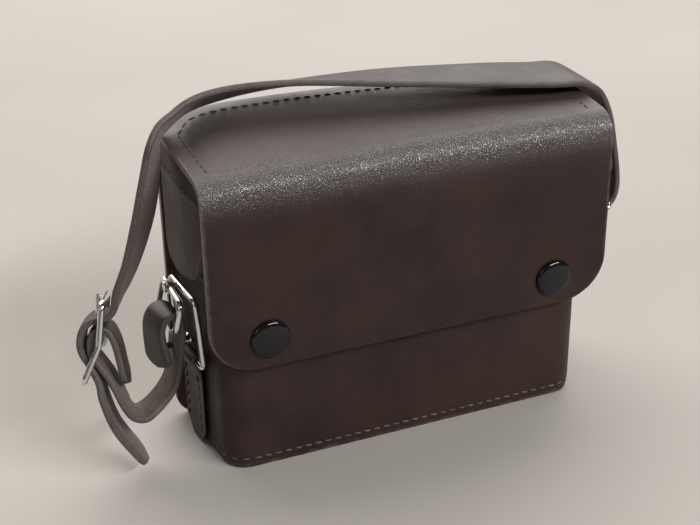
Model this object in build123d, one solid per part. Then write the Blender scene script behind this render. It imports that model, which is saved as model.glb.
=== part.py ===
from build123d import *
import math
import os

# A hand-held selenium light meter in its ever-ready leather carrying case.
# Millimetres. Origin: centre of the bottom of the case. +X is the right side of
# the case, -Y is its front (the side with the closing flap) and +Z is up.

# ---- driving dimensions -------------------------------------------------------

LEATHER = 2.0            # thickness of every case leather
GAP = 0.05               # air left between pieces that lie against each other

BODY_HALF_WIDTH = 62.0   # half width of the case at its front corners
BODY_FRONT = -19.0       # outer face of the front wall
BODY_BACK = 19.0         # where the side walls meet the back panel
BODY_CORNER = 8.0        # outer radius of the two upright front corners
SIDE_START = BODY_FRONT + BODY_CORNER
SPLAY = 0.09             # the side walls spread by this much per mm of depth
WALL_TOP = 94.0          # top of the side walls
POCKET_TOP = 55.0        # top of the front wall, hidden behind the flap
CHEEK = 9.0              # width of front wall left standing at each corner

LID_TOP = 100.5          # outer face of the lid
LID_HALF_FRONT = 66.5    # half width of lid and flap at the front
LID_HALF_BACK = 68.0     # half width of the lid at the back
FLAP_FRONT = -23.4       # outer face of the flap
FLAP_BOTTOM = 38.4
FLAP_CORNER = 14.5
FOLD_RADIUS = 8.0        # outer radius of the fold between lid and flap
BACK_OUTER = BODY_BACK + LEATHER
BACK_RADIUS = 6.0        # outer radius of the fold between back panel and lid
BACK_HALF_WIDTH = 67.5   # half width of the back panel, with its seam flange
MOUTH_CORNER = 12.0      # rounding at the bottom of the front opening
BASE_RIM = 8.0           # how far the bottom leather turns up inside the walls
LINING = 0.6             # thickness of the velvet lining
LINING_HEIGHT = 32.0
PAD = 0.85               # thickness of the velvet floor pad

SNAP_X = 48.0
SNAP_Z = 48.0
SNAP_RADIUS = 6.25

STITCH_PITCH = 3.4
STITCH_LENGTH = 2.3
THREAD = 0.5
THREAD_LIFT = THREAD / 2 + 0.02   # axis of a stitch above the leather it lies on
BASE_SEAM_Z = 3.6        # height of the seam that holds the bottom leather
SEAM_INSET = 2.2         # back seams in from the edges of the back panel

WIRE = 1.0               # radius of ring and buckle wire
PIVOT_Y = 6.0            # the strap swings about this line, parallel to X
PIVOT_Z = 56.0
STRAP = 2.0              # thickness of strap leather
STRAP_WIDTH = 12.0

DIAL_X = 17.5            # pivot of the meter movement
DIAL_Z = 65.0
NEEDLE_SWING = 84.0      # degrees from zero to full scale
CELL_X = -32.0
CELL_Z = 75.0

METER_HALF_WIDTH = 56.0
METER_FRONT = -13.0
METER_SPLIT = 2.0        # joint between the two meter shells
METER_BACK = 16.0
METER_BOTTOM = 3.0
METER_TOP = 93.0
METER_CORNER = 6.0
SHELL = 2.0              # wall of the meter shells
SCREW_X = 49.0           # housing screws, either side of the middle
SCREW_ZS = (METER_BOTTOM + 7, METER_TOP - 7)

# ---- derived places -----------------------------------------------------------

FOLD_Y = FLAP_FRONT + FOLD_RADIUS
FOLD_Z = LID_TOP - FOLD_RADIUS
BACK_FOLD_Y = BACK_OUTER - BACK_RADIUS
BACK_FOLD_Z = LID_TOP - BACK_RADIUS


def save(name, shape):
    """Write one node as a STEP file."""
    export_step(shape if isinstance(shape, Compound) else Compound([shape]),
                f"parts/{name}.step")


def mirrored(shape):
    """The same piece for the left side of the case."""
    return mirror(shape, about=Plane.YZ)


def group(pieces):
    """Several separate solids that share one node."""
    return Compound(children=list(pieces))


def box(x0, x1, y0, y1, z0, z1):
    return Pos((x0 + x1) / 2, (y0 + y1) / 2, (z0 + z1) / 2) * Box(x1 - x0, y1 - y0, z1 - z0)


def rod_x(x0, x1, y, z, radius):
    return Pos((x0 + x1) / 2, y, z) * Rot(0, 90, 0) * Cylinder(radius, abs(x1 - x0))


def rod_y(x, y0, y1, z, radius):
    return Pos(x, (y0 + y1) / 2, z) * Rot(90, 0, 0) * Cylinder(radius, y1 - y0)


def rod_z(x, y, z0, z1, radius):
    return Pos(x, y, (z0 + z1) / 2) * Cylinder(radius, z1 - z0)


def wall_x(y):
    """Outer face of the right side wall at depth y."""
    return BODY_HALF_WIDTH + SPLAY * (y - SIDE_START)


def side_plane(out):
    """The right side wall's plane, moved outward: x runs back, y up, z outward."""
    tilt = math.atan(SPLAY)
    origin = (BODY_HALF_WIDTH + out / math.cos(tilt), SIDE_START, 0)
    return Plane(origin=origin, x_dir=(math.sin(tilt), math.cos(tilt), 0),
                 z_dir=(math.cos(tilt), -math.sin(tilt), 0))


def side_plate(outline, out, thickness):
    """A flat leather on the right side wall, from (y, z) corner points."""
    points = [(y - SIDE_START, z) for y, z in outline]
    return extrude(side_plane(out) * make_face(Polyline(*points, close=True)), thickness)


def plan_outline(inset, back):
    """Plan view of the case inside its outer face by inset, square at the back."""
    half = BODY_HALF_WIDTH - inset
    front = BODY_FRONT + inset
    start = SIDE_START
    radius = BODY_CORNER - inset
    end = half + SPLAY * (back - start)
    bend = radius * math.sqrt(0.5)
    cx, cy = half - radius, start
    right = [Line((end, back), (half, start)),
             ThreePointArc((half, start), (cx + bend, cy - bend), (cx, front))]
    left = [ThreePointArc((-cx, front), (-cx - bend, cy - bend), (-half, start)),
            Line((-half, start), (-end, back))]
    edges = right + [Line((cx, front), (-cx, front))] + left + [Line((-end, back), (end, back))]
    return make_face(Curve() + edges)


def yz_sheet(profile, half_width):
    """Extrude a (y, z) face across the full width of the case."""
    return extrude(Plane.YZ.offset(-half_width) * profile, 2 * half_width)


def fold_sector(radius, start, end):
    """A quarter or eighth of a leather fold, centred on the sketch origin."""
    inner = radius - LEATHER
    mid = math.radians((start + end) / 2)

    def at(r, degrees):
        a = math.radians(degrees)
        return r * math.cos(a), r * math.sin(a)

    middle_out = (radius * math.cos(mid), radius * math.sin(mid))
    middle_in = (inner * math.cos(mid), inner * math.sin(mid))
    edges = [ThreePointArc(at(radius, start), middle_out, at(radius, end)),
             Line(at(radius, end), at(inner, end)),
             ThreePointArc(at(inner, end), middle_in, at(inner, start)),
             Line(at(inner, start), at(radius, start))]
    return make_face(Curve() + edges)


# ---- leather case -------------------------------------------------------------

def front_side_wrap():
    """One leather bent round the front and both sides, lower at the front."""
    back = BODY_BACK - GAP
    plan = plan_outline(0, back) - plan_outline(LEATHER, back)
    open_back = Pos(0, back) * Rectangle(2 * (wall_x(back) - LEATHER), 2 * LEATHER)
    wrap = extrude(plan - open_back, WALL_TOP)
    span = 2 * (BODY_HALF_WIDTH - CHEEK)
    height = 2 * (WALL_TOP - POCKET_TOP)
    mouth = Plane.XZ.offset(-BODY_FRONT - 10) * Pos(0, WALL_TOP) * RectangleRounded(
        span, height, MOUTH_CORNER)
    wrap -= extrude(mouth, 20)
    for x in (-SNAP_X, SNAP_X):
        wrap -= rod_y(x, BODY_FRONT - 1, BODY_FRONT + 3, SNAP_Z, 1.6)
    return wrap


def base_tray():
    """The bottom leather, with its edge turned up inside the wrap and sewn."""
    back = BODY_BACK - GAP
    floor = extrude(plan_outline(LEATHER + GAP, back), LEATHER)
    rim = extrude(plan_outline(LEATHER + GAP, back) - plan_outline(2 * LEATHER, back - LEATHER),
                  BASE_RIM)
    return floor + rim


def back_panel():
    """The back leather, which turns forward at the top into half of the lid fold."""
    sheet = Plane.XZ.offset(-BODY_BACK) * Pos(0, BACK_FOLD_Z / 2) * Rectangle(
        2 * BACK_HALF_WIDTH, BACK_FOLD_Z)
    sheet = extrude(sheet, -LEATHER)
    sheet = fillet(sheet.edges().filter_by(Axis.Y).group_by(Axis.Z)[0], 8)
    arc = fold_sector(BACK_RADIUS, 0, 44.5)
    arc = yz_sheet(Pos(BACK_FOLD_Y, BACK_FOLD_Z) * arc, BACK_HALF_WIDTH)
    return sheet + arc


def pocket_lining():
    """Thin velvet against the front and side walls, above the turned-up base."""
    inner = LEATHER + GAP
    back = BODY_BACK - 0.5
    plan = plan_outline(inner, back) - plan_outline(inner + LINING, back)
    plan -= Pos(0, back) * Rectangle(2 * (wall_x(back) - inner - LINING), 2)
    return Pos(0, 0, BASE_RIM + 0.2) * extrude(plan, LINING_HEIGHT)


def floor_pad():
    return Pos(0, 0, LEATHER + GAP) * extrude(plan_outline(2 * LEATHER + 1, BODY_BACK - 3), PAD)


TAB_FRONT = -2.0
TAB_BACK = 10.6


def side_tab():
    """A strip up the side wall that ends in a loop round the bottom of the case ring."""
    y0, y1 = TAB_FRONT, TAB_BACK
    out = GAP
    bar_out, bar_z = CASE_RING_FOOT
    strip = side_plate([(y0, 6), (y0 + 4, 0.6), (y1 - 4, 0.6), (y1, 6), (y1, bar_z), (y0, bar_z)],
                       out, LEATHER)
    loop_plane = side_plane(bar_out)
    loop_plane = Plane(origin=loop_plane.origin + loop_plane.x_dir * (y0 - SIDE_START)
                       + Vector(0, 0, bar_z), x_dir=loop_plane.z_dir, z_dir=loop_plane.x_dir)
    reach = bar_out - out
    loop = extrude(loop_plane * Circle(reach), y1 - y0)
    hole = extrude(loop_plane * Circle(WIRE + GAP), 2 * (y1 - y0), both=True)
    return strip + loop - hole


CASE_RING_FOOT = (2.2, 32.0)     # distance out from the wall, height
CASE_RING_LEAN = 1.4             # how much further out the top bar is
RING_SPAN = 20.0
RING_Y = 3.0                     # middle of the rings' width


def swept_wire(points, radius, corner):
    """A closed loop of round wire with rounded corners."""
    path = FilletPolyline(*points, radius=corner, close=True)
    return sweep(Plane(origin=path @ 0, z_dir=path % 0) * Circle(radius), path=path)


def case_ring():
    """The tall rectangular ring on the side, with the swivel pin for the link ring."""
    out, foot = CASE_RING_FOOT
    low = side_plane(out)
    high = side_plane(out + CASE_RING_LEAN)
    middle = RING_Y - SIDE_START

    def place(plane, along, z):
        return plane.origin + plane.x_dir * (middle + along) + Vector(0, 0, z)

    half = RING_SPAN / 2
    corners = [place(low, half, foot), place(high, half, PIVOT_Z),
               place(high, -half, PIVOT_Z), place(low, -half, foot)]
    ring = swept_wire(corners, WIRE, 2.0)
    bar_x = (wall_x(PIVOT_Y) + out + CASE_RING_LEAN)
    pin = rod_x(bar_x, LINK_X + 1.2, PIVOT_Y, PIVOT_Z, 0.9)
    head = rod_x(LINK_X + 1.1, LINK_X + 1.8, PIVOT_Y, PIVOT_Z, 1.7)
    return ring + pin + head


LINK_X = 70.2                    # centre plane of the link ring's inner bar
LINK_LENGTH = 9.8


def link_ring(rise):
    """A small ring with an eye that turns on the swivel pin; rise is its tilt in degrees."""
    a = math.radians(rise)
    reach = Vector(math.cos(a), 0, math.sin(a)) * LINK_LENGTH
    start = Vector(LINK_X, 0, PIVOT_Z)
    front, back = Vector(0, RING_Y - RING_SPAN / 2, 0), Vector(0, RING_Y + RING_SPAN / 2, 0)
    corners = [start + front, start + back, start + reach + back, start + reach + front]
    ring = swept_wire(corners, WIRE, 2.2)
    eye = rod_x(LINK_X - 0.9, LINK_X + 0.9, PIVOT_Y, PIVOT_Z, 2.3)
    bore = rod_x(LINK_X - 2, LINK_X + 2, PIVOT_Y, PIVOT_Z, 0.95)
    return ring + eye - bore


def stitches_on_front():
    """The row of thread along the bottom of the front wall."""
    count = int(2 * (BODY_HALF_WIDTH - BODY_CORNER) / STITCH_PITCH)
    for i in range(count + 1):
        x = (i - count / 2) * STITCH_PITCH
        yield rod_x(x - STITCH_LENGTH / 2, x + STITCH_LENGTH / 2,
                    BODY_FRONT - THREAD_LIFT, BASE_SEAM_Z, THREAD / 2)


def side_thread(y0, z0, y1, z1, out):
    """Stitches in a straight row on the right side, from (y0, z0) to (y1, z1)."""
    length = math.hypot(y1 - y0, z1 - z0)
    count = max(2, round(length / STITCH_PITCH))
    plane = side_plane(out + THREAD_LIFT)
    slope = math.degrees(math.atan2(z1 - z0, y1 - y0))
    for i in range(count):
        t = (i + 0.5) / count
        y, z = y0 + (y1 - y0) * t, z0 + (z1 - z0) * t
        spot = plane.location * Pos(y - SIDE_START, z, 0) * Rot(0, 0, slope) * Rot(0, 90, 0)
        yield spot * Cylinder(THREAD / 2, STITCH_LENGTH)


def base_stitching():
    z = BASE_SEAM_Z
    right = list(side_thread(SIDE_START + 1, z, TAB_FRONT - 1, z, 0))
    right += list(side_thread(TAB_BACK + 2.4, z, BODY_BACK - 1, z, 0))
    return group(list(stitches_on_front()) + right + [mirrored(s) for s in right])


def back_seam_stitching():
    """Thread down both edges of the back panel."""
    rows = []
    x = BACK_HALF_WIDTH - SEAM_INSET
    count = int((BACK_FOLD_Z - 14) / STITCH_PITCH)
    for i in range(count):
        z = 10 + i * STITCH_PITCH
        for side in (-1, 1):
            rows.append(rod_z(side * x, BACK_OUTER + THREAD_LIFT,
                              z - STITCH_LENGTH / 2, z + STITCH_LENGTH / 2, THREAD / 2))
    return group(rows)


def side_tab_stitching():
    right = list(side_thread(TAB_FRONT + 1.2, 7, TAB_FRONT + 1.2, 27, LEATHER + GAP))
    right += list(side_thread(TAB_BACK - 1.2, 7, TAB_BACK - 1.2, 27, LEATHER + GAP))
    return group(right + [mirrored(s) for s in right])


def snap_studs():
    """The fixed halves of the two press studs, on the front wall."""
    studs = []
    for x in (-SNAP_X, SNAP_X):
        base = rod_y(x, BODY_FRONT - 0.5, BODY_FRONT - 0.02, SNAP_Z, 4.4)
        dome = Pos(x, BODY_FRONT - 1.2, SNAP_Z) * Rot(90, 0, 0) * Cone(2.2, 1.4, 1.4)
        bore = rod_y(x, BODY_FRONT - 1.3, BODY_FRONT, SNAP_Z, 0.9)
        studs.append(base + dome - bore)
    return group(studs)


def snap_posts():
    """The rivets behind the studs, with their heads inside the pocket."""
    posts = []
    for x in (-SNAP_X, SNAP_X):
        shank = rod_y(x, BODY_FRONT + 0.02, BODY_FRONT + LEATHER + 0.3, SNAP_Z, 1.5)
        tip = rod_y(x, BODY_FRONT - 1.2, BODY_FRONT + 0.5, SNAP_Z, 0.85)
        head = rod_y(x, BODY_FRONT + LEATHER + 0.02, BODY_FRONT + LEATHER + 0.6, SNAP_Z, 4.0)
        posts.append(shank + tip + head)
    return group(posts)


# ---- lid and flap -------------------------------------------------------------

def lid_top():
    """The lid leather between its two folds, a little wider at the back."""
    flat = box(-LID_HALF_BACK, LID_HALF_BACK, FOLD_Y, BACK_FOLD_Y, LID_TOP - LEATHER, LID_TOP)
    front = yz_sheet(Pos(FOLD_Y, FOLD_Z) * fold_sector(FOLD_RADIUS, 90, 134.5), LID_HALF_BACK)
    back = fold_sector(BACK_RADIUS, 45.5, 90)
    back = yz_sheet(Pos(BACK_FOLD_Y, BACK_FOLD_Z) * back, LID_HALF_BACK)
    outline = [(-LID_HALF_FRONT, FLAP_FRONT - 1), (LID_HALF_FRONT, FLAP_FRONT - 1),
               (LID_HALF_BACK, BACK_OUTER), (-LID_HALF_BACK, BACK_OUTER)]
    trim = Pos(0, 0, BACK_FOLD_Z - 5) * extrude(make_face(Polyline(*outline, close=True)), 20)
    return (flat + front + back) & trim


EAR_OUT = 0.4            # air between side wall and lid ear
EAR_FRONT = -20.8
EAR_BACK = 17.5
EAR_TOP = LID_TOP - LEATHER - GAP
EAR_TIP = 60.0
EAR_FRONT_CORNER = 5.4
EAR_BACK_CORNER = 3.5
LIP = 1.0                # thickness of the narrow band over the ear


def ear_outline(low):
    """Corner points of the tongue that hangs from the lid's side down to low."""
    return [(EAR_FRONT, EAR_TOP), (EAR_FRONT, 88), (-17, 79), (-13.5, 72), (-8.5, 64.5), (-4, low),
            (EAR_BACK, low), (EAR_BACK, EAR_TOP)]


def lid_ear():
    """The side gusset of the lid, a rounded tongue outside the side wall."""
    def through_edges(shape):
        """The short edges that cross the leather's thickness."""
        return shape.edges().filter_by(lambda e: abs(e.tangent_at(0.5).Z) < 0.01
                                       and abs(e.tangent_at(0.5).X) > 0.9 and e.length < 3)

    ear = side_plate(ear_outline(EAR_TIP), EAR_OUT, LEATHER)
    top = through_edges(ear).sort_by(Axis.Z)[-2:].sort_by(Axis.Y)
    ear = fillet(top[0], EAR_FRONT_CORNER)
    back = through_edges(ear).sort_by(lambda e: e.center().Y + e.center().Z)[-1]
    return fillet(back, EAR_BACK_CORNER)


def lid_lip():
    """The narrow band sewn over the top of the ear."""
    outline = [(EAR_FRONT + 2, EAR_TOP - 4), (EAR_FRONT + 6, EAR_TOP), (14, EAR_TOP),
               (EAR_BACK, EAR_TOP - 3.5), (EAR_BACK, 90), (-17, 88.5)]
    return side_plate(outline, EAR_OUT + LEATHER + GAP, LIP)


def lid_stitching():
    """Thread along both sides and the back of the lid top, and along the lips."""
    z = LID_TOP + THREAD_LIFT
    x = LID_HALF_FRONT - 5
    rows = []
    for i in range(int((BACK_FOLD_Y - FOLD_Y) / STITCH_PITCH)):
        y = FOLD_Y + (i + 0.5) * STITCH_PITCH
        for side in (-1, 1):
            rows.append(rod_y(side * x, y - STITCH_LENGTH / 2, y + STITCH_LENGTH / 2, z, THREAD / 2))
    count = int(2 * x / STITCH_PITCH)
    for i in range(count):
        along = (i - (count - 1) / 2) * STITCH_PITCH
        rows.append(rod_x(along - STITCH_LENGTH / 2, along + STITCH_LENGTH / 2,
                          BACK_FOLD_Y - 0.3, z, THREAD / 2))
    right = list(side_thread(-14, 90.3, EAR_BACK - 1.5, 91.8, EAR_OUT + LEATHER + GAP + LIP))
    return group(rows + right + [mirrored(s) for s in right])


def front_flap():
    """The closing flap: half of the front fold and the flat front."""
    width = 2 * LID_HALF_FRONT
    height = FOLD_Z - FLAP_BOTTOM
    panel = Plane.XZ.offset(-FLAP_FRONT) * Pos(0, FOLD_Z - height / 2) * Rectangle(width, height)
    panel = extrude(panel, -LEATHER)
    panel = fillet(panel.edges().filter_by(Axis.Y).group_by(Axis.Z)[0], FLAP_CORNER)
    arc = yz_sheet(Pos(FOLD_Y, FOLD_Z) * fold_sector(FOLD_RADIUS, 135.5, 180), LID_HALF_FRONT)
    flap = panel + arc
    for x in (-SNAP_X, SNAP_X):
        flap -= rod_y(x, FLAP_FRONT - 1, FLAP_FRONT + LEATHER + 1, SNAP_Z, 2.1)
    return flap


def snap_caps():
    """Low domed caps on the outside of the flap, with their barrels through it."""
    caps = []
    for x in (-SNAP_X, SNAP_X):
        cap = rod_y(x, FLAP_FRONT - 1.7, FLAP_FRONT - 0.02, SNAP_Z, SNAP_RADIUS)
        cap = fillet(cap.edges().group_by(Axis.Y)[0], 1.4)
        caps.append(cap + rod_y(x, FLAP_FRONT - 0.5, FLAP_FRONT + LEATHER + 0.2, SNAP_Z, 2.0))
    return group(caps)


def snap_sockets():
    """The sprung halves of the press studs, on the inside of the flap."""
    inner = FLAP_FRONT + LEATHER
    sockets = []
    for x in (-SNAP_X, SNAP_X):
        ring = rod_y(x, inner + 0.02, inner + 1.72, SNAP_Z, 5.2)
        ring -= rod_y(x, inner, inner + 0.25, SNAP_Z, 2.05)
        ring -= rod_y(x, inner + 0.4, inner + 2, SNAP_Z, 3.6)
        sockets.append(ring)
    return group(sockets)


# ---- strap --------------------------------------------------------------------

def smooth(rows, steps):
    """Points on a Catmull-Rom curve through the rows, whatever they hold."""
    last = len(rows) - 1
    out = []
    for i in range(last):
        before, a, b, after = (rows[max(i - 1, 0)], rows[i], rows[i + 1], rows[min(i + 2, last)])
        for j in range(steps):
            t = j / steps
            out.append([0.5 * (2 * p1 + (p2 - p0) * t + (2 * p0 - 5 * p1 + 4 * p2 - p3) * t * t
                               + (3 * p1 - p0 - 3 * p2 + p3) * t ** 3)
                        for p0, p1, p2, p3 in zip(before, a, b, after)])
    out.append(list(rows[last]))
    return out


def ribbon(rows, steps):
    """A strap through rows of (x, y, z, width, lean, dip).

    The width runs along (lean, 1, dip), so lean turns it toward +X and dip tips it down.
    """
    path = smooth(rows, steps)
    sections = []
    for i, (x, y, z, width, lean, dip) in enumerate(path):
        ahead = Vector(*path[min(i + 1, len(path) - 1)][:3])
        behind = Vector(*path[max(i - 1, 0)][:3])
        along = (ahead - behind).normalized()
        side = Vector(lean, 1, dip)
        side = (side - along * side.dot(along)).normalized()
        flat = Plane(origin=(x, y, z), x_dir=side, z_dir=along)
        sections.append(flat * Rectangle(width, STRAP))
    return loft(sections, ruled=True)


def flat_rows(points, y):
    """Ribbon rows for a strap that bends in the XZ plane only."""
    return [(x, y, z, STRAP_WIDTH, 0.0, 0.0) for x, z in points]


# The buckle's own directions: across its width, to its right, and up.
BUCKLE_AT = Vector(-93.4, 0, 45.1)
BUCKLE_LEAN = 0.34
BUCKLE_DIP = -0.27
BUCKLE_ACROSS = Vector(BUCKLE_LEAN, 1, BUCKLE_DIP).normalized()
BUCKLE_RIGHT = Vector(1, -BUCKLE_LEAN, 0).normalized()
BUCKLE_UP = BUCKLE_RIGHT.cross(BUCKLE_ACROSS)


def buckle_point(right, up, across=0.0):
    return BUCKLE_AT + BUCKLE_RIGHT * right + BUCKLE_UP * up + BUCKLE_ACROSS * across


def buckle_rows(points):
    """Ribbon rows for strap that bends in the buckle's own plane."""
    places = [buckle_point(right, up) for right, up in points]
    return [(p.X, p.Y, p.Z, STRAP_WIDTH, BUCKLE_LEAN, BUCKLE_DIP) for p in places]


# the loose end, below the buckle
TAIL_RUN = [(-84.8, -6.0, 3.6, 12.0, 0.2, -0.1), (-92.4, -5.7, 17.5, 12.0, 0.3, -0.2),
            (-95.4, -4.5, 28.3, 12.0, 0.34, -0.27)]
# up the outside of the buckle and over its middle bar, in the buckle's plane
LONG_LOOP = [(-1.3, -12.0), (-3.6, -6.2), (-5.6, -2.3), (-6.1, 1.1), (-5.1, 4.9), (-2.5, 7.4),
             (0.5, 8.0), (3.1, 9.0), (4.9, 11.5)]
# from the buckle up past the lid's left side, over the lid and down the right side
ARCH_RUN = [(-86.2, 1.2, 60.6, 12.0, 0.54, -0.37), (-81.6, 2.0, 69.5, 12.0, 0.7, -0.42),
            (-77.2, 2.0, 82.5, 12.0, 0.88, -0.44), (-74.4, 2.0, 94.2, 12.0, 0.78, -0.48),
            (-71.6, 4.2, 104.3, 12.0, 0.4, -0.3), (-65.8, 8.9, 109.3, 12.0, 0.25, -0.42),
            (-54.8, 12.2, 113.1, 12.0, 0.0, -0.47), (-32.3, 12.3, 113.6, 14.0, 0.0, -0.33),
            (1.6, 9.6, 111.4, 17.5, 0.0, -0.1), (37.1, 7.2, 107.8, 20.5, 0.0, 0.0),
            (56.0, 6.0, 105.6, 22.3, 0.0, 0.0), (66.5, 6.0, 104.4, 22.3, 0.0, 0.0),
            (73.2, 6.0, 100.2, 21.5, 0.0, 0.0), (77.6, 5.0, 92.0, 18.5, 0.0, 0.0),
            (80.4, 3.6, 82.0, 14.5, 0.0, 0.0), (82.0, 2.2, 73.0, 12.2, 0.0, 0.0)]
RIGHT_LOOP = [(82.7, 66.0), (81.6, 61.0), (78.6, 58.4), (75.7, 60.4), (75.5, 64.4), (77.9, 69.0),
              (79.3, 73.5), (78.6, 79.0)]
RIGHT_Y = 2.0
RIGHT_RIVET_Z = 73.2
LEFT_RIVET_Z = 38.5
RIVET = 1.1              # radius of the rivet shanks


def long_strap():
    rows = TAIL_RUN + buckle_rows(LONG_LOOP) + ARCH_RUN + flat_rows(RIGHT_LOOP, RIGHT_Y)
    strap = ribbon(rows, 4)
    strap -= rod_x(70, 90, RIGHT_Y, RIGHT_RIVET_Z, RIVET + GAP)
    strap -= prong_line(PRONG + 0.4)
    return strap


# folded end, up and over the link ring, and down again
RING_LOOP = [(-76.4, 32.4), (-76.9, 37.0), (-77.4, 42.0), (-77.3, 47.0), (-75.6, 50.4),
             (-72.8, 51.2), (-70.6, 49.2), (-70.1, 45.0), (-70.8, 39.5), (-71.9, 32.8)]
# the slack between the ring and the buckle
SLACK_RUN = [(-74.2, -1.1, 26.6, 12.0, 0.04, -0.03), (-78.9, -2.7, 22.2, 12.0, 0.1, -0.07),
             (-84.0, -4.5, 20.4, 12.0, 0.16, -0.12), (-87.6, -5.3, 22.4, 12.0, 0.24, -0.18),
             (-89.7, -5.4, 26.6, 12.0, 0.3, -0.24)]
# up to the buckle's middle bar, over it and down, in the buckle's plane
SHORT_LOOP = [(3.7, -14.6), (1.5, -10.0), (-1.0, -6.1), (-2.9, -3.1), (-3.3, 0.7), (-2.3, 3.4),
              (-0.2, 4.9), (2.2, 4.3), (3.7, 1.6), (4.8, -2.4), (5.7, -8.0), (6.7, -13.2)]


def short_strap():
    strap = ribbon(flat_rows(RING_LOOP, 0.0) + SLACK_RUN + buckle_rows(SHORT_LOOP), 3)
    strap -= rod_x(-84, -66, 0, LEFT_RIVET_Z, RIVET + GAP)
    strap -= prong_line(PRONG + 0.4)
    return strap


# bars of the buckle, as (right, up) in its own plane
BUCKLE_TOP = (1.5, 13.4)
BUCKLE_MIDDLE = (-0.3, 0.5)
BUCKLE_FOOT = (-5.6, -10.8)
BUCKLE_HALF = 7.7
BUCKLE_BAR = 0.9         # radius of the middle bar
PRONG = 0.75


def rod_between(start, end, radius):
    plane = Plane(origin=start, z_dir=(end - start).normalized())
    return extrude(plane * Circle(radius), (end - start).length)


def across_buckle(half, radius):
    """A round bar across the buckle, centred on its middle bar."""
    right, up = BUCKLE_MIDDLE
    return rod_between(buckle_point(right, up, -half), buckle_point(right, up, half), radius)


def buckle_frame():
    """A wire frame bent at its middle bar."""
    h = BUCKLE_HALF
    bars = (BUCKLE_TOP, BUCKLE_MIDDLE, BUCKLE_FOOT)
    corners = [buckle_point(right, up, h) for right, up in bars]
    corners += [buckle_point(right, up, -h) for right, up in reversed(bars)]
    return swept_wire(corners, WIRE, 2.0) + across_buckle(h, BUCKLE_BAR)


def prong_line(radius):
    """The straight shank of the prong, from the middle bar to the top bar."""
    (tr, tu), (mr, mu) = BUCKLE_TOP, BUCKLE_MIDDLE
    return rod_between(buckle_point(mr - 1.0, mu + 1.2), buckle_point(tr - 1.9, tu + 1.2), radius)


def buckle_prong():
    eye = across_buckle(1.2, 1.9) - across_buckle(2.0, BUCKLE_BAR + GAP)
    return eye + (prong_line(PRONG) - across_buckle(2.0, 1.4))


def domed_rivet(side, y, z, inner, outer):
    """A rivet along X whose domed head sits on the outer strap face."""
    rivet = rod_x(side * inner, side * outer, y, z, RIVET)
    rivet += Pos(side * (outer + 0.6), y, z) * Rot(0, side * 90, 0) * Cone(3.0, 1.6, 1.2)
    return rivet + rod_x(side * (inner - 0.4), side * inner, y, z, 2.0)


def strap_rivets():
    """A domed rivet through each folded strap end."""
    return group([domed_rivet(-1, 0, LEFT_RIVET_Z, 69.3, 78.9),
                  domed_rivet(1, RIGHT_Y, RIGHT_RIVET_Z, 77.6, 83.5)])


# ---- meter --------------------------------------------------------------------

WINDOW = (-9.0, 44.0, 62.0, 89.0)    # left, right, bottom, top
ADJUSTER_Z = 58.3
SLIDER_X = 8.0                       # left end of the range switch's stem
SLIDER_LENGTH = 14.0
RANGE_TRAVEL = 8.0


def meter_front_shell():
    """The front half of the meter housing, open at the back."""
    x, y0, y1 = METER_HALF_WIDTH, METER_FRONT, METER_SPLIT
    outer = box(-x, x, y0, y1, METER_BOTTOM, METER_TOP)
    outer = fillet(outer.edges().filter_by(Axis.Y), METER_CORNER)
    inner = box(-x + SHELL, x - SHELL, y0 + SHELL, y1 + 1,
                METER_BOTTOM + SHELL, METER_TOP - SHELL)
    inner = fillet(inner.edges().filter_by(Axis.Y), METER_CORNER - SHELL)
    shell = outer - inner
    x0, x1, z0, z1 = WINDOW
    shell -= box(x0, x1, y0 - 1, y0 + SHELL + 1, z0, z1)
    shell -= rod_y(CELL_X, y0 - 1, y0 + SHELL + 1, CELL_Z, 14.05)
    shell -= rod_y(DIAL_X, y0 - 1, y0 + SHELL + 1, ADJUSTER_Z, 1.85)
    slot_end = SLIDER_X + SLIDER_LENGTH + RANGE_TRAVEL + 0.2
    shell -= box(SLIDER_X - 0.2, slot_end, -6.6, -3.4, METER_TOP - SHELL - 1, METER_TOP + 1)
    for sx in (-1, 1):
        for z in SCREW_ZS:
            boss = rod_y(sx * SCREW_X, y0 + 1, y1, z, 3.2)
            boss -= rod_y(sx * SCREW_X, -6, y1 + 1, z, 1.3)
            shell += boss
    return shell


def meter_back_shell():
    """The back half of the meter housing, with four screw holes."""
    x, y0, y1 = METER_HALF_WIDTH, METER_SPLIT + GAP, METER_BACK
    outer = box(-x, x, y0, y1, METER_BOTTOM, METER_TOP)
    outer = fillet(outer.edges().filter_by(Axis.Y), METER_CORNER)
    inner = box(-x + SHELL, x - SHELL, y0 - 1, y1 - SHELL,
                METER_BOTTOM + SHELL, METER_TOP - SHELL)
    inner = fillet(inner.edges().filter_by(Axis.Y), METER_CORNER - SHELL)
    shell = outer - inner
    for sx in (-1, 1):
        for z in SCREW_ZS:
            shell += rod_y(sx * SCREW_X, y0, y1 - 1, z, 3.6)
            shell -= rod_y(sx * SCREW_X, y0 - 1, y1 + 1, z, 1.35)
            shell -= rod_y(sx * SCREW_X, y1 - 1.6, y1 + 1, z, 2.7)
    return shell


def housing_screws():
    screws = []
    for sx in (-1, 1):
        for z in SCREW_ZS:
            shank = rod_y(sx * SCREW_X, -5, METER_BACK - 1.5, z, 1.25)
            head = rod_y(sx * SCREW_X, METER_BACK - 1.55, METER_BACK - 0.1, z, 2.5)
            slot = box(sx * SCREW_X - 3, sx * SCREW_X + 3, METER_BACK - 0.7, METER_BACK,
                       z - 0.3, z + 0.3)
            screws.append(shank + head - slot)
    return group(screws)


def window_glass():
    x0, x1, z0, z1 = WINDOW
    pane = box(x0 + GAP, x1 - GAP, METER_FRONT + 0.3, METER_FRONT + 1.8, z0 + GAP, z1 - GAP)
    return pane


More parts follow.
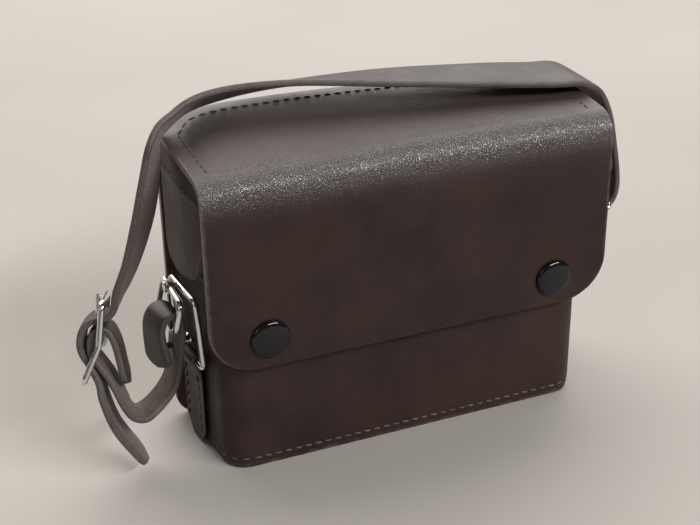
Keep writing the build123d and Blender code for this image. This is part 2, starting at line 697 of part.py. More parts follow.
def window_bezel():
    """A thin metal frame round the window, on the face of the housing."""
    x0, x1, z0, z1 = WINDOW
    y0, y1 = METER_FRONT - 0.8, METER_FRONT - 0.02
    return box(x0 - 1.5, x1 + 1.5, y0, y1, z0 - 1.1, z1 + 1.5) - box(x0 + 1, x1 - 1, y0 - 1, y1 + 1,
                                                                     z0 + 1, z1 - 1)


def dial_plate():
    x0, x1, z0, z1 = WINDOW
    plate = box(x0 - 1.3, x1 + 1.2, -8.4, -7.8, z0 - 1.5, z1 + 1.4)
    return plate - rod_y(DIAL_X, -9, -7, DIAL_Z, 1.6)


def needle():
    """A flat pointer with a counterweight, standing at zero."""
    bar = box(-0.3, 0.3, -9.7, -9.4, 0.6, 21.0)
    bar += Pos(0, -9.55, 17.0) * Rot(90, 0, 0) * extrude(Circle(0.9), 0.15, both=True)
    bar += box(-0.8, 0.8, -9.7, -9.4, -4.5, -0.6)
    hub = rod_y(0, -9.9, -9.2, 0, 1.1) - rod_y(0, -11, -8, 0, 0.5)
    turned = Rot(0, -NEEDLE_SWING / 2, 0) * (bar + hub)
    return Pos(DIAL_X, 0, DIAL_Z) * turned


def moving_coil():
    """A rectangular coil with its front and rear pivot staffs."""
    frame = box(-1.2, 1.2, -3.8, 5.8, -6.4, 6.4) - box(-2, 2, -2.6, 4.6, -5.2, 5.2)
    frame += rod_y(0, -10.1, -3.7, 0, 0.48) + rod_y(0, 5.7, 8.3, 0, 0.48)
    return Pos(DIAL_X, 0, DIAL_Z) * Rot(0, -NEEDLE_SWING / 2, 0) * frame


def magnet_ring():
    return rod_y(DIAL_X, -2, 4, DIAL_Z, 13) - rod_y(DIAL_X, -3, 5, DIAL_Z, 7.3)


def pole_core():
    """The soft iron core inside the coil, held on a bar that the coil never reaches."""
    core = rod_y(DIAL_X, -2.2, 4.2, DIAL_Z, 4.6)
    bar = box(DIAL_X - 7.2, DIAL_X + 7.2, -1.0, 3.0, DIAL_Z - 1.0, DIAL_Z + 1.0)
    return core + bar


def bridge(y0, y1, foot):
    """A jewel bridge across the magnet, with two feet standing on it."""
    bar = box(DIAL_X - 12, DIAL_X + 12, y0, y1, DIAL_Z - 2, DIAL_Z + 2)
    bar -= rod_y(DIAL_X, y0 - 1, y1 + 1, DIAL_Z, 0.52)
    for sx in (-1, 1):
        lo, hi = sorted((foot, y0 if foot < y0 else y1))
        bar += box(DIAL_X + sx * 10.5 - 1.3, DIAL_X + sx * 10.5 + 1.3, lo, hi, DIAL_Z - 2, DIAL_Z + 2)
    return bar


def hairsprings():
    """Two flat spiral springs, one on each side of the coil."""
    coils = []
    for y in (-7.2, 6.4):
        turns, start, pitch = 3.0, 0.9, 0.75
        points = []
        for i in range(int(turns * 16) + 1):
            a = 2 * math.pi * i / 16
            r = start + pitch * a / (2 * math.pi)
            points.append((r * math.cos(a), r * math.sin(a)))
        path = Spline(*points)
        strip = trace(path, 0.12)
        coils.append(Pos(DIAL_X, y, DIAL_Z) * Rot(90, 0, 0) * extrude(strip, 0.35))
    return group(coils)


def zero_adjuster():
    head = rod_y(DIAL_X, METER_FRONT - 0.6, METER_FRONT + 3.2, ADJUSTER_Z, 1.8)
    rim = rod_y(DIAL_X, METER_FRONT - 0.6, METER_FRONT - 0.05, ADJUSTER_Z, 2.3)
    slot = box(DIAL_X - 3, DIAL_X + 3, METER_FRONT - 1, METER_FRONT - 0.2,
               ADJUSTER_Z - 0.3, ADJUSTER_Z + 0.3)
    return head + rim - slot


def range_slider():
    """The ribbed thumb piece of the range switch, at the left end of its slot."""
    x0, x1 = SLIDER_X, SLIDER_X + SLIDER_LENGTH
    top = METER_TOP
    knob = box(x0 - 1.5, x1 + 1.5, -7.8, -2.2, top + GAP, top + 2.2)
    for i in range(5):
        x = x0 + 0.8 + i * 3.0
        knob -= box(x, x + 0.9, -9, -1, top + 1.5, top + 3)
    stem = box(x0, x1, -6.4, -3.6, top - SHELL - 0.5, top + 1)
    shoe = box(x0 - 1.5, x1 + 1.5, -7.4, -2.6, top - SHELL - 1.1, top - SHELL - GAP)
    return knob + stem + shoe


def switch_wafer():
    x0, x1 = SLIDER_X - 4, SLIDER_X + SLIDER_LENGTH + RANGE_TRAVEL + 4
    board = box(x0, x1, -7.2, -1, 88.0, 89.0)
    for i in range(4):
        x = x0 + 3 + i * 7.5
        board += box(x, x + 2.5, -6.2, -3.8, 88.9, 89.6)
    return board


def cell_diffuser():
    """A ribbed opal lens over the selenium cell."""
    lens = rod_y(CELL_X, METER_FRONT + 0.2, METER_FRONT + 3, CELL_Z, 13.95)
    for i in range(-5, 6):
        lens -= rod_x(CELL_X - 15, CELL_X + 15, METER_FRONT, CELL_Z + 2.3 * i, 0.55)
    return lens


def cell_bezel():
    y0, y1 = METER_FRONT - 0.9, METER_FRONT - 0.02
    ring = rod_y(CELL_X, y0, y1, CELL_Z, 16.5)
    ring = fillet(ring.edges().group_by(Axis.Y)[0], 0.6)
    return ring - rod_y(CELL_X, y0 - 1, y1 + 1, CELL_Z, 13.2)


def selenium_cell():
    return rod_y(CELL_X, -8.6, -7.6, CELL_Z, 13.5)


def cell_contact_ring():
    return rod_y(CELL_X, -9.1, -8.65, CELL_Z, 13.5) - rod_y(CELL_X, -10, -8, CELL_Z, 11.8)


def cell_holder():
    """The insulating cup that presses the cell forward."""
    cup = rod_y(CELL_X, -9.9, -5.0, CELL_Z, 15.4) - rod_y(CELL_X, -11, -7.55, CELL_Z, 13.6)
    return cup - rod_y(CELL_X, -8, -4, CELL_Z, 5.0)


def resistor_board():
    return box(-20, 10, 8.0, 9.4, 20, 44)


def resistors():
    parts = []
    for i in range(3):
        z = 25 + i * 7
        body = rod_x(-11, -1, 5.8, z, 1.8)
        wire = rod_x(-15, 3, 5.8, z, 0.35)
        legs = rod_y(-15, 5.8, 7.95, z, 0.35) + rod_y(3, 5.8, 7.95, z, 0.35)
        parts.append(body + wire + legs)
    return group(parts)


def lead_wires():
    """Insulated leads between cell, switch, resistors and movement."""
    runs = [[(-32, -4.4, 68), (-32, 4, 62), (-24, 10.6, 50), (-12, 10.6, 42)],
            [(5, 0, 87), (-2, 6, 80), (-8, 11, 60), (-6, 10.6, 42)],
            [(12, 10.5, 62), (11, 11.2, 54), (4, 10.6, 42)]]
    wires = []
    for run in runs:
        path = Spline(*run)
        wires.append(sweep(Plane(origin=path @ 0, z_dir=path % 0) * Circle(0.6), path=path))
    return group(wires)


# ---- write every node ---------------------------------------------------------

def main():
    os.makedirs("parts", exist_ok=True)
    for make in (front_side_wrap, back_panel, base_tray, pocket_lining, floor_pad, base_stitching,
                 back_seam_stitching, side_tab_stitching, snap_studs, snap_posts, lid_top,
                 lid_stitching, front_flap, snap_caps, snap_sockets, long_strap, short_strap,
                 buckle_frame, buckle_prong, strap_rivets, meter_front_shell, meter_back_shell,
                 housing_screws, window_glass, window_bezel, dial_plate, needle, moving_coil,
                 magnet_ring, pole_core, hairsprings, zero_adjuster, range_slider, switch_wafer,
                 cell_diffuser, cell_bezel, selenium_cell, cell_contact_ring, cell_holder,
                 resistor_board, resistors, lead_wires):
        save(make.__name__, make())
    for make in (side_tab, case_ring, lid_ear, lid_lip):
        right = make()
        save(f"{make.__name__}_right", right)
        save(f"{make.__name__}_left", mirrored(right))
    save("link_ring_right", link_ring(30))
    save("link_ring_left", mirrored(link_ring(-76)))
    save("front_bridge", bridge(-6.2, -5.2, -2.05))
    save("rear_bridge", bridge(7.0, 8.2, 4.05))


main()
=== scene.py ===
import math
import random
from collections import Counter

import bmesh
import bpy
import numpy as np
from mathutils import Matrix, Vector


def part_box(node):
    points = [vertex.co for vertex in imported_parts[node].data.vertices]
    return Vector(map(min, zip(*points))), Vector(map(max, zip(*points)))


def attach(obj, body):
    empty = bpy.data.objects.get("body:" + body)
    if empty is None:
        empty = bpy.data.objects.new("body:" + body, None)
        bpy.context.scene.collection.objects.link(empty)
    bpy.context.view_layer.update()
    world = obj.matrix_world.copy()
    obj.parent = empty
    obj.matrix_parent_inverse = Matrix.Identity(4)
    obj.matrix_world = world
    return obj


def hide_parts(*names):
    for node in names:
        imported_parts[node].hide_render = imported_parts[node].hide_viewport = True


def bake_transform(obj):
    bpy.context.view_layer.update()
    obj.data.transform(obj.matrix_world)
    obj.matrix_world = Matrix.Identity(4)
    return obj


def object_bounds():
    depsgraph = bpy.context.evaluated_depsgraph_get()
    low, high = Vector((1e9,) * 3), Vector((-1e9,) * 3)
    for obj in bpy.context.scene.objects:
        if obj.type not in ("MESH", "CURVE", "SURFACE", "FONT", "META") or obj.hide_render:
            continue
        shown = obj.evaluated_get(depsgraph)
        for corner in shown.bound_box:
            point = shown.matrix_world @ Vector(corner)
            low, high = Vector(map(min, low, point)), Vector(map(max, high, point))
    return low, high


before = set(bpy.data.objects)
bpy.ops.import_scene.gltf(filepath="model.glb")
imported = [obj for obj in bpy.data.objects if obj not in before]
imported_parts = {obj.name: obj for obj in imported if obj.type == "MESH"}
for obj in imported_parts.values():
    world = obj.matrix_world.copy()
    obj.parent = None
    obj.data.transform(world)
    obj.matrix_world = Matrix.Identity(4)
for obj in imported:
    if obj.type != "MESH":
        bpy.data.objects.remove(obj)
cad_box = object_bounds()

MM = 0.001
LEATHER = 2.0 * MM
NEAR = 1e-6  # slack when places are compared, in metres

# ---- places taken from the frame ----

wrap_lo, wrap_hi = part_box("front_side_wrap")
back_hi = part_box("back_panel")[1]
lid_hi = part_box("lid_top")[1]
flap_lo, flap_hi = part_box("front_flap")
caps_lo, caps_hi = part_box("snap_caps")

FOLD_R = 8.0 * MM  # front fold, lid to flap
BACK_R = 3.5 * MM  # back fold, back panel to lid
TOP = lid_hi.z
FOLD_Y, FOLD_Z = flap_lo.y + FOLD_R, TOP - FOLD_R
BACK_Y, BACK_Z = back_hi.y - BACK_R, TOP - BACK_R
CORNER = 8.0 * MM  # upright front corners of the body
SIDE_START = wrap_lo.y + CORNER
BODY_HALF = 62.0 * MM
SPLAY = (wrap_hi.x - BODY_HALF) / (wrap_hi.y - SIDE_START)
CAP_R = (caps_hi.z - caps_lo.z) / 2
SNAP_X, SNAP_Z = caps_hi.x - CAP_R, (caps_hi.z + caps_lo.z) / 2
STITCH = 3.4 * MM  # thread pitch
LID_BORDER = 2.5 * MM  # how far the lid's back border stands above its front
LID_BORDER_TILT = 0.7 * MM  # more than that at its left end, and less at its right
LID_FULL = 4.4 * MM  # extra rise inside the stitching
LID_FULL_X = -28 * MM  # where along the lid it is fullest
LID_RIM = 66 * MM  # below this height the ears don't follow the lid
FOLD_ARCH = 1.1 * MM  # rise of the front fold in the middle


# ---- mesh helpers ----

def placed(name, data):
    """A new object in the scene for a mesh, light, camera or text."""
    obj = bpy.data.objects.new(name, data)
    bpy.context.scene.collection.objects.link(obj)
    return obj


def new_object(name, verts, faces, materials, indices=None):
    """A smooth-shaded mesh object in the scene."""
    mesh = bpy.data.meshes.new(name)
    mesh.from_pydata([tuple(v) for v in verts], [], faces)
    for material in materials:
        mesh.materials.append(material)
    if indices is not None:
        mesh.polygons.foreach_set("material_index", indices)
    mesh.polygons.foreach_set("use_smooth", [True] * len(mesh.polygons))
    mesh.update()
    return placed(name, mesh)


def modifier(obj, kind, **settings):
    m = obj.modifiers.new(kind.lower(), kind)
    for key, value in settings.items():
        setattr(m, key, value)
    return m


def bake(obj):
    """Turn an object's modifiers, or a curve, into a plain mesh."""
    graph = bpy.context.evaluated_depsgraph_get()
    mesh = bpy.data.meshes.new_from_object(obj.evaluated_get(graph))
    mesh.name = obj.name
    if obj.type == "MESH":
        obj.modifiers.clear()
        obj.data = mesh
        return obj
    name = obj.name
    fresh = placed(name + "_m", mesh)
    bpy.data.objects.remove(obj)
    fresh.name = name
    return fresh


def face_outward(obj, weld=False):
    """Turn the faces of a closed mesh outward, after merging doubled points if asked."""
    work = bmesh.new()
    work.from_mesh(obj.data)
    if weld:
        bmesh.ops.remove_doubles(work, verts=work.verts, dist=1e-7)
    bmesh.ops.recalc_face_normals(work, faces=work.faces)
    work.to_mesh(obj.data)
    work.free()
    return obj


def settle(obj, slot, body, *nodes):
    """Let a piece stand in for CAD nodes on its body, the nodes being hidden; slot is not used."""
    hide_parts(*nodes)
    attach(obj, body)


def remember_rest(obj):
    """Store each point's rest place, so textures don't swim when a piece bends."""
    mesh = obj.data
    co = np.empty(len(mesh.vertices) * 3, np.float32)
    mesh.vertices.foreach_get("co", co)
    attribute = mesh.attributes.new("rest", "FLOAT_VECTOR", "POINT")
    attribute.data.foreach_set("vector", co)
    return obj


def mark(obj, name, values):
    """Store one number per point for a material to read."""
    attribute = obj.data.attributes.new(name, "FLOAT", "POINT")
    attribute.data.foreach_set("value", np.asarray(values, np.float32))


def sheet(name, rows, thickness, materials, edge=0.5 * MM, fold=None, gone=None):
    """A leather sheet from a grid of outer-face points: face, cut edge and flesh side.

    The border is marked for rubbed wear and a painted highlight along the rounded edge; fold(point)
    marks where the leather is creased, and gone(row, column) is true for a cell that is cut away.
    """
    count = len(rows[0])
    verts = [p for row in rows for p in row]
    faces = []
    for i in range(len(rows) - 1):
        for j in range(count - 1):
            a = i * count + j
            if gone is None or not gone(i, j):
                faces.append((a, a + 1, a + count + 1, a + count))
    used = sorted({k for face in faces for k in face})
    number = {k: n for n, k in enumerate(used)}
    verts = [verts[k] for k in used]
    faces = [tuple(number[k] for k in face) for face in faces]
    obj = new_object(name, verts, faces, materials)
    sides = Counter(frozenset(pair) for face in faces for pair in zip(face, face[1:] + face[:1]))
    border = {k for pair, times in sides.items() if times == 1 for k in pair}
    mark(obj, "edge", [float(k in border) for k in range(len(verts))])
    if fold is not None:
        mark(obj, "fold", [fold(p) for p in verts])
    modifier(obj, "SOLIDIFY", thickness=thickness, offset=-1,
             material_offset=2, material_offset_rim=1)
    modifier(obj, "BEVEL", width=edge, segments=3, limit_method="ANGLE",
             angle_limit=math.radians(50))
    bake(obj)
    return remember_rest(obj)


def swept(name, sections, materials, indices):
    """Skin rings of points along a path; indices gives each side's material."""
    verts = [p for ring in sections for p in ring]
    n = len(sections[0])
    faces, marks = [], []
    for i in range(len(sections) - 1):
        a, b = i * n, (i + 1) * n
        for j in range(n):
            k = (j + 1) % n
            faces.append((a + j, a + k, b + k, b + j))
            marks.append(indices[j])
    faces.append(tuple(range(n))[::-1])
    faces.append(tuple((len(sections) - 1) * n + j for j in range(n)))
    marks += [1, 1]
    return new_object(name, verts, faces, materials, marks)


def smooth(rows, steps):
    """Points on a Catmull-Rom curve through the rows, whatever they hold."""
    rows = np.array(rows, float)
    padded = np.vstack([rows[:1], rows, rows[-1:]])
    out = []
    for i in range(len(rows) - 1):
        p0, p1, p2, p3 = padded[i:i + 4]
        for j in range(steps):
            t = j / steps
            out.append(0.5 * (2 * p1 + (p2 - p0) * t + (2 * p0 - 5 * p1 + 4 * p2 - p3) * t * t
                              + (3 * p1 - p0 - 3 * p2 + p3) * t ** 3))
    out.append(rows[-1])
    return np.array(out)


def lathe(name, turned, material, steps):
    """One object of several turned parts: (radius, height) points in mm, centre and axis."""
    verts, faces = [], []
    for profile, centre, axis in turned:
        axis = Vector(axis).normalized()
        side = axis.orthogonal().normalized()
        other = axis.cross(side)
        base, n = len(verts), len(profile)
        for k in range(steps):
            a = 2 * math.pi * k / steps
            out = side * math.cos(a) + other * math.sin(a)
            verts += [Vector(centre) + out * (r * MM) + axis * (h * MM) for r, h in profile]
        for k in range(steps):
            a, b = base + k * n, base + ((k + 1) % steps) * n
            faces += [(a + j, b + j, b + j + 1, a + j + 1) for j in range(n - 1)]
    obj = face_outward(new_object(name, verts, faces, [material]), weld=True)
    obj.data.polygons.foreach_set("use_smooth", [True] * len(obj.data.polygons))
    return obj


def cad(node, material, bevel):
    """A CAD node keeps its shape and gets softened edges and a finish."""
    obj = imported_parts[node]
    obj.data.materials.clear()
    obj.data.materials.append(material)
    if bevel:
        modifier(obj, "WELD", merge_threshold=1e-6)
        modifier(obj, "BEVEL", width=bevel, segments=2, limit_method="ANGLE",
                 angle_limit=math.radians(40), harden_normals=True)


# ---- materials ----

WORN_AND_HIGHLIGHT_EDGE_TONE = (0.17, 0.125, 0.105)  # rubbed leather edges, lightened further as a painted highlight along the rounded edge
DUST_TONE = (0.22, 0.19, 0.16)
PAINTED_TOP_SHEEN_TONE = (0.125, 0.107, 0.098)  # painted sheen: the lid's top is drawn lighter, as it looks where light falls on it


class Nodes:
    """Short names for the nodes of one material."""

    def __init__(self, name):
        self.material = bpy.data.materials.new(name)
        self.material.use_nodes = True
        self.tree = self.material.node_tree
        self.shader = self.tree.nodes["Principled BSDF"]
        self.bumps = None

    def feed(self, socket, value):
        """Give an input a number, a vector, a colour or another node's output."""
        if isinstance(value, bpy.types.NodeSocket):
            self.tree.links.new(value, socket)
        elif socket.type == "RGBA":
            socket.default_value = value + (1.0,)
        else:
            socket.default_value = value

    def add(self, kind, inputs=None, **settings):
        node = self.tree.nodes.new(kind)
        for key, value in settings.items():
            setattr(node, key, value)
        for key, value in (inputs or {}).items():
            self.feed(node.inputs[key], value)
        return node

    def rest_place(self):
        """Texture place of a piece that bends: its stored rest point."""
        return self.add("ShaderNodeAttribute", attribute_name="rest").outputs["Vector"]

    def place(self):
        """Texture place of a rigid piece: its own space."""
        return self.add("ShaderNodeTexCoord").outputs["Object"]

    def noise(self, vector, scale, detail=4.0, rough=0.55, distortion=0.0):
        inputs = {"Vector": vector, "Scale": scale, "Detail": detail, "Roughness": rough,
                  "Distortion": distortion}
        return self.add("ShaderNodeTexNoise", inputs).outputs["Fac"]

    def cells(self, vector, scale):
        inputs = {"Vector": vector, "Scale": scale}
        node = self.add("ShaderNodeTexVoronoi", inputs, feature="DISTANCE_TO_EDGE")
        return node.outputs["Distance"]

    def ramp(self, value, low, high, to_low=0.0, to_high=1.0):
        inputs = {"Value": value, "From Min": low, "From Max": high, "To Min": to_low,
                  "To Max": to_high}
        node = self.add("ShaderNodeMapRange", inputs, interpolation_type="SMOOTHSTEP")
        return node.outputs["Result"]

    def math(self, operation, a, b):
        return self.add("ShaderNodeMath", {0: a, 1: b}, operation=operation).outputs[0]

    def mix(self, factor, a, b):
        node = self.add("ShaderNodeMix", {"Factor": factor, "A": a, "B": b}, data_type="RGBA")
        return [out for out in node.outputs if out.type == "RGBA"][0]

    def stretched(self, vector, x, y, z):
        inputs = {0: vector, 1: (x, y, z)}
        return self.add("ShaderNodeVectorMath", inputs, operation="MULTIPLY").outputs[0]

    def bump(self, height, distance, strength=1.0):
        inputs = {"Height": height, "Distance": distance, "Strength": strength}
        if self.bumps is not None:
            inputs["Normal"] = self.bumps
        self.bumps = self.add("ShaderNodeBump", inputs).outputs["Normal"]

    def attribute(self, name):
        return self.add("ShaderNodeAttribute", attribute_name=name).outputs["Fac"]

    def set(self, **values):
        for key, value in values.items():
            self.feed(self.shader.inputs[key.replace("_", " ")], value)

    def done(self):
        if self.bumps is not None:
            self.feed(self.shader.inputs["Normal"], self.bumps)
        return self.material


def scaled(colour, factor):
    """The same colour, darker or lighter."""
    return tuple(c * factor for c in colour)


def clouded(m, value, low, high, colour, darker, lighter):
    """A colour that drifts between a darker and a lighter tone of itself."""
    return m.mix(m.ramp(value, low, high), scaled(colour, darker), scaled(colour, lighter))


def leather_face(name, colour, rough, shine=0.5, creased=False):
    """Smooth coated grain leather: fine pebble, faint creases, uneven dye and sheen.

    creased adds the wrinkled, polished band of a fold and a painted sheen that lightens the colour
    of a top face.
    """
    m = Nodes(name)
    at = m.rest_place()
    cloud = m.noise(at, 38, 5, 0.6)
    patch = m.noise(at, 9, 3, 0.5)
    tone = clouded(m, cloud, 0.3, 0.7, colour, 0.72, 1.3)
    tone = m.mix(m.math("MULTIPLY", m.ramp(patch, 0.35, 0.75), 0.45), tone,
                 tuple(c * f for c, f in zip(colour, (1.55, 1.25, 1.15))))
    pebble = m.ramp(m.cells(at, 1050), 0.0, 0.16)
    pores = m.noise(at, 2600, 2, 0.6)
    wander = m.noise(m.stretched(at, 1.0, 1.0, 1.4), 160, 6, 0.7, 1.2)
    creases = m.cells(m.stretched(at, 0.9, 1.0, 1.6), 62)
    crease_line = m.ramp(creases, 0.0, 0.045, 1.0, 0.0)
    crease_mask = m.ramp(m.noise(at, 24, 3, 0.6), 0.56, 0.72)
    crease_line = m.math("MULTIPLY", crease_line, crease_mask)
    if creased:
        band = m.attribute("fold")
        grain = m.ramp(m.cells(at, 1900), 0.0, 0.3)
        folds = m.noise(m.stretched(at, 0.8, 1.0, 1.0), 900, 3, 0.6, 0.3)
        m.bump(m.math("MULTIPLY", band, grain), 0.09 * MM, 1.0)
        m.bump(m.math("MULTIPLY", band, folds), 0.10 * MM, 0.6)
    m.bump(crease_line, 0.12 * MM, -0.5)
    m.bump(wander, 0.22 * MM, 0.35)
    m.bump(pebble, 0.05 * MM, 0.55)
    m.bump(pores, 0.03 * MM, 0.4)
    # the border is lightened for rubbed wear and also as a painted highlight along the rounded edge
    worn = m.math("MULTIPLY", m.attribute("edge"), m.ramp(m.noise(at, 300, 4, 0.7), 0.3, 0.7))
    tone = m.mix(m.math("MULTIPLY", worn, 0.8), tone, WORN_AND_HIGHLIGHT_EDGE_TONE)
    specks = m.ramp(m.noise(at, 900, 3, 0.8), 0.66, 0.76)
    tone = m.mix(m.math("MULTIPLY", specks, 0.075), tone, DUST_TONE)
    dullness = m.ramp(m.noise(at, 60, 5, 0.65), 0.25, 0.75, rough - 0.06, rough + 0.1)
    if creased:
        polished = m.math("POWER", band, 3.0)
        dullness = m.math("SUBTRACT", dullness, m.math("MULTIPLY", polished, 0.12))
        height = m.add("ShaderNodeSeparateXYZ", {0: at}).outputs["Z"]
        upper = m.ramp(height, TOP - 12 * MM, TOP, 0.0, 0.35)
        shine = m.math("ADD", m.math("ADD", m.math("MULTIPLY", polished, 0.6), upper), shine)
        # painted sheen: the top face's colour is lightened toward the top, standing in for the
        # light it catches
        tone = m.mix(m.math("MULTIPLY", upper, 0.8), tone, PAINTED_TOP_SHEEN_TONE)
    m.set(Base_Color=tone, Roughness=dullness, Specular_IOR_Level=shine)
    return m.done()


def leather_cut(name, colour):
    """The burnished cut edge: lighter, with fibres showing here and there."""
    m = Nodes(name)
    at = m.rest_place()
    fibre = m.noise(at, 1500, 5, 0.75)
    stain = m.noise(at, 120, 4, 0.6)
    tone = clouded(m, fibre, 0.3, 0.7, colour, 0.7, 1.3)
    tone = m.mix(m.math("MULTIPLY", m.ramp(stain, 0.45, 0.7), 0.6), tone, scaled(colour, 0.45))
    m.bump(fibre, 0.12 * MM, 0.7)
    m.set(Base_Color=tone, Roughness=0.5, Specular_IOR_Level=0.4)
    return m.done()


def leather_flesh(name, colour):
    """The rough unfinished inside of the leather, with loose fibres."""
    m = Nodes(name)
    at = m.rest_place()
    nap = m.noise(at, 950, 7, 0.82, 0.8)
    tufts = m.noise(at, 330, 5, 0.75, 1.5)
    stain = m.noise(at, 60, 4, 0.6)
    tone = clouded(m, nap, 0.32, 0.68, colour, 0.45, 1.7)
    tone = m.mix(m.math("MULTIPLY", m.ramp(stain, 0.4, 0.7), 0.5), tone, scaled(colour, 0.5))
    m.bump(tufts, 0.5 * MM, 0.8)
    m.bump(nap, 0.3 * MM, 0.9)
    m.set(Base_Color=tone, Roughness=0.9, Specular_IOR_Level=0.15, Sheen_Weight=0.25)
    return m.done()


def metal(name, colour, rough):
    """Plated or plain metal: fine scratches, small pits and uneven polish."""
    m = Nodes(name)
    at = m.place()
    blotch = m.noise(at, 260, 5, 0.7)
    scratches = m.noise(m.stretched(at, 1.0, 1.0, 0.12), 2600, 3, 0.6)
    worn = m.math("MULTIPLY", m.ramp(blotch, 0.55, 0.75), 0.5)
    tone = m.mix(worn, colour, scaled(colour, 0.45))
    m.bump(scratches, 0.02 * MM, 0.25)
    m.bump(blotch, 0.05 * MM, 0.12)
    m.set(Base_Color=tone, Metallic=1.0, Roughness=m.ramp(blotch, 0.35, 0.75, rough, rough + 0.22))
    return m.done()


def enamel(name, colour):
    """Glossy stoved enamel with faint orange peel and hairline marks."""
    m = Nodes(name)
    at = m.place()
    peel = m.noise(at, 900, 2, 0.4)
    hair = m.noise(m.stretched(at, 1.0, 0.3, 0.1), 2500, 2, 0.5)
    dust = m.ramp(m.noise(at, 1500, 3, 0.7), 0.68, 0.76)
    m.bump(peel, 0.03 * MM, 0.25)
    m.bump(hair, 0.01 * MM, 0.15)
    m.set(Base_Color=m.mix(m.math("MULTIPLY", dust, 0.12), colour, (0.2, 0.18, 0.16)),
          Roughness=m.ramp(hair, 0.3, 0.8, 0.09, 0.18), Specular_IOR_Level=0.4)
    return m.done()


def thread_material(name, colour):
    """Twisted waxed thread."""
    m = Nodes(name)
    at = m.place()
    ply = m.noise(at, 2400, 3, 0.6)
    grime = m.noise(at, 200, 4, 0.6)
    tone = clouded(m, grime, 0.35, 0.65, colour, 0.55, 1.25)
    m.bump(ply, 0.12 * MM, 0.9)
    m.set(Base_Color=tone, Roughness=0.75, Sheen_Weight=0.2)
    return m.done()


def moulding(name, colour, rough=0.5, grain=0.5):
    """Textured moulded plastic."""
    m = Nodes(name)
    at = m.place()
    spark = m.noise(at, 2200, 3, 0.6)
    cloud = m.noise(at, 70, 4, 0.5)
    tone = clouded(m, cloud, 0.3, 0.7, colour, 0.8, 1.25)
    m.bump(spark, 0.04 * MM, grain)
    m.set(Base_Color=tone, Roughness=m.ramp(cloud, 0.3, 0.7, rough - 0.06, rough + 0.08))
    return m.done()


def velvet(name, colour):
    """Short crushed pile."""
    m = Nodes(name)
    at = m.place()
    pile = m.noise(at, 1800, 4, 0.8)
    crush = m.noise(at, 90, 4, 0.6, 0.8)
    tone = clouded(m, crush, 0.35, 0.65, colour, 0.6, 1.4)
    m.bump(pile, 0.25 * MM, 0.9)
    m.set(Base_Color=tone, Roughness=0.95, Sheen_Weight=0.8, Specular_IOR_Level=0.1)
    return m.done()


def clear_glass(name):
    """Window glass with faint smears."""
    m = Nodes(name)
    at = m.place()
    smear = m.noise(at, 120, 4, 0.6)
    m.bump(m.noise(at, 40, 2, 0.4), 0.02 * MM, 0.2)
    m.set(Base_Color=(0.95, 0.98, 0.97), Roughness=m.ramp(smear, 0.45, 0.75, 0.01, 0.08),
          Transmission_Weight=1.0, IOR=1.3)
    return m.done()


def opal(name):
    """Milky lens over the light cell."""
    m = Nodes(name)
    at = m.place()
    cloud = m.noise(at, 300, 3, 0.5)
    tone = m.mix(m.ramp(cloud, 0.3, 0.7), (0.62, 0.62, 0.58), (0.78, 0.77, 0.73))
    m.bump(cloud, 0.03 * MM, 0.2)
    m.set(Base_Color=tone, Roughness=0.25, Subsurface_Weight=0.3,
          Subsurface_Radius=(2 * MM, 2 * MM, 2 * MM))
    return m.done()


CASE_TONE = (0.028, 0.0148, 0.0124)
LID_TONE = (0.027, 0.0150, 0.0128)
STRAP_TONE = (0.029, 0.0172, 0.0148)
CUT_TONE = (0.170, 0.138, 0.122)
STRAP_CUT_TONE = (0.095, 0.078, 0.070)
FLESH_TONE = (0.095, 0.056, 0.042)

# each set is the grain face, the cut edge and the flesh side
case_set = [leather_face("case_leather", CASE_TONE, 0.52, 0.3),
            leather_cut("case_cut", CUT_TONE),
            leather_flesh("case_flesh", FLESH_TONE)]
lid_set = [leather_face("lid_leather", LID_TONE, 0.40, 0.25, creased=True)] + case_set[1:]
strap_set = [leather_face("strap_leather", STRAP_TONE, 0.44),
             leather_cut("strap_cut", STRAP_CUT_TONE),
             leather_flesh("strap_flesh", FLESH_TONE)]
chrome = metal("chrome_wire", (0.74, 0.73, 0.71), 0.10)
snap_metal = metal("snap_metal", (0.55, 0.50, 0.40), 0.22)
trim_metal = metal("satin_trim", (0.62, 0.62, 0.63), 0.28)
brass = metal("bridge_brass", (0.62, 0.45, 0.20), 0.25)
iron = metal("magnet_iron", (0.16, 0.16, 0.17), 0.38)
copper = metal("enamelled_copper", (0.48, 0.20, 0.09), 0.3)
black_cap = enamel("snap_enamel", (0.004, 0.004, 0.0045))
thread = thread_material("waxed_thread", (0.12, 0.098, 0.082))
dark_thread = thread_material("dark_thread", (0.055, 0.043, 0.038))
housing = moulding("meter_housing", (0.022, 0.022, 0.024), 0.46)
laminate = moulding("brown_laminate", (0.16, 0.075, 0.03), 0.5)
dial_paint = moulding("dial_paint", (0.70, 0.67, 0.58), 0.55, 0.2)
ink = moulding("dial_ink", (0.012, 0.012, 0.012), 0.5, 0.2)
red_ink = moulding("dial_red", (0.35, 0.02, 0.015), 0.5, 0.2)
resistor_body = moulding("resistor_lacquer", (0.36, 0.22, 0.10), 0.3, 0.3)
selenium = metal("selenium_film", (0.12, 0.11, 0.13), 0.35)
pile = velvet("velvet_pile", (0.055, 0.012, 0.013))
glass = clear_glass("window_glass")
opal_lens = opal("opal_lens")


# ---- the leather case ----

def wall_x(y):
    """Outer face of the side wall at depth y: the case widens a little to the back."""
    return BODY_HALF + SPLAY * (y - SIDE_START)


def side_point(side, y, out, z):
    """A point beside the case wall: side is -1 or 1, out is measured square to the wall."""
    tilt = math.atan(SPLAY)
    return Vector((side * (wall_x(y) + out / math.cos(tilt)), y, z))


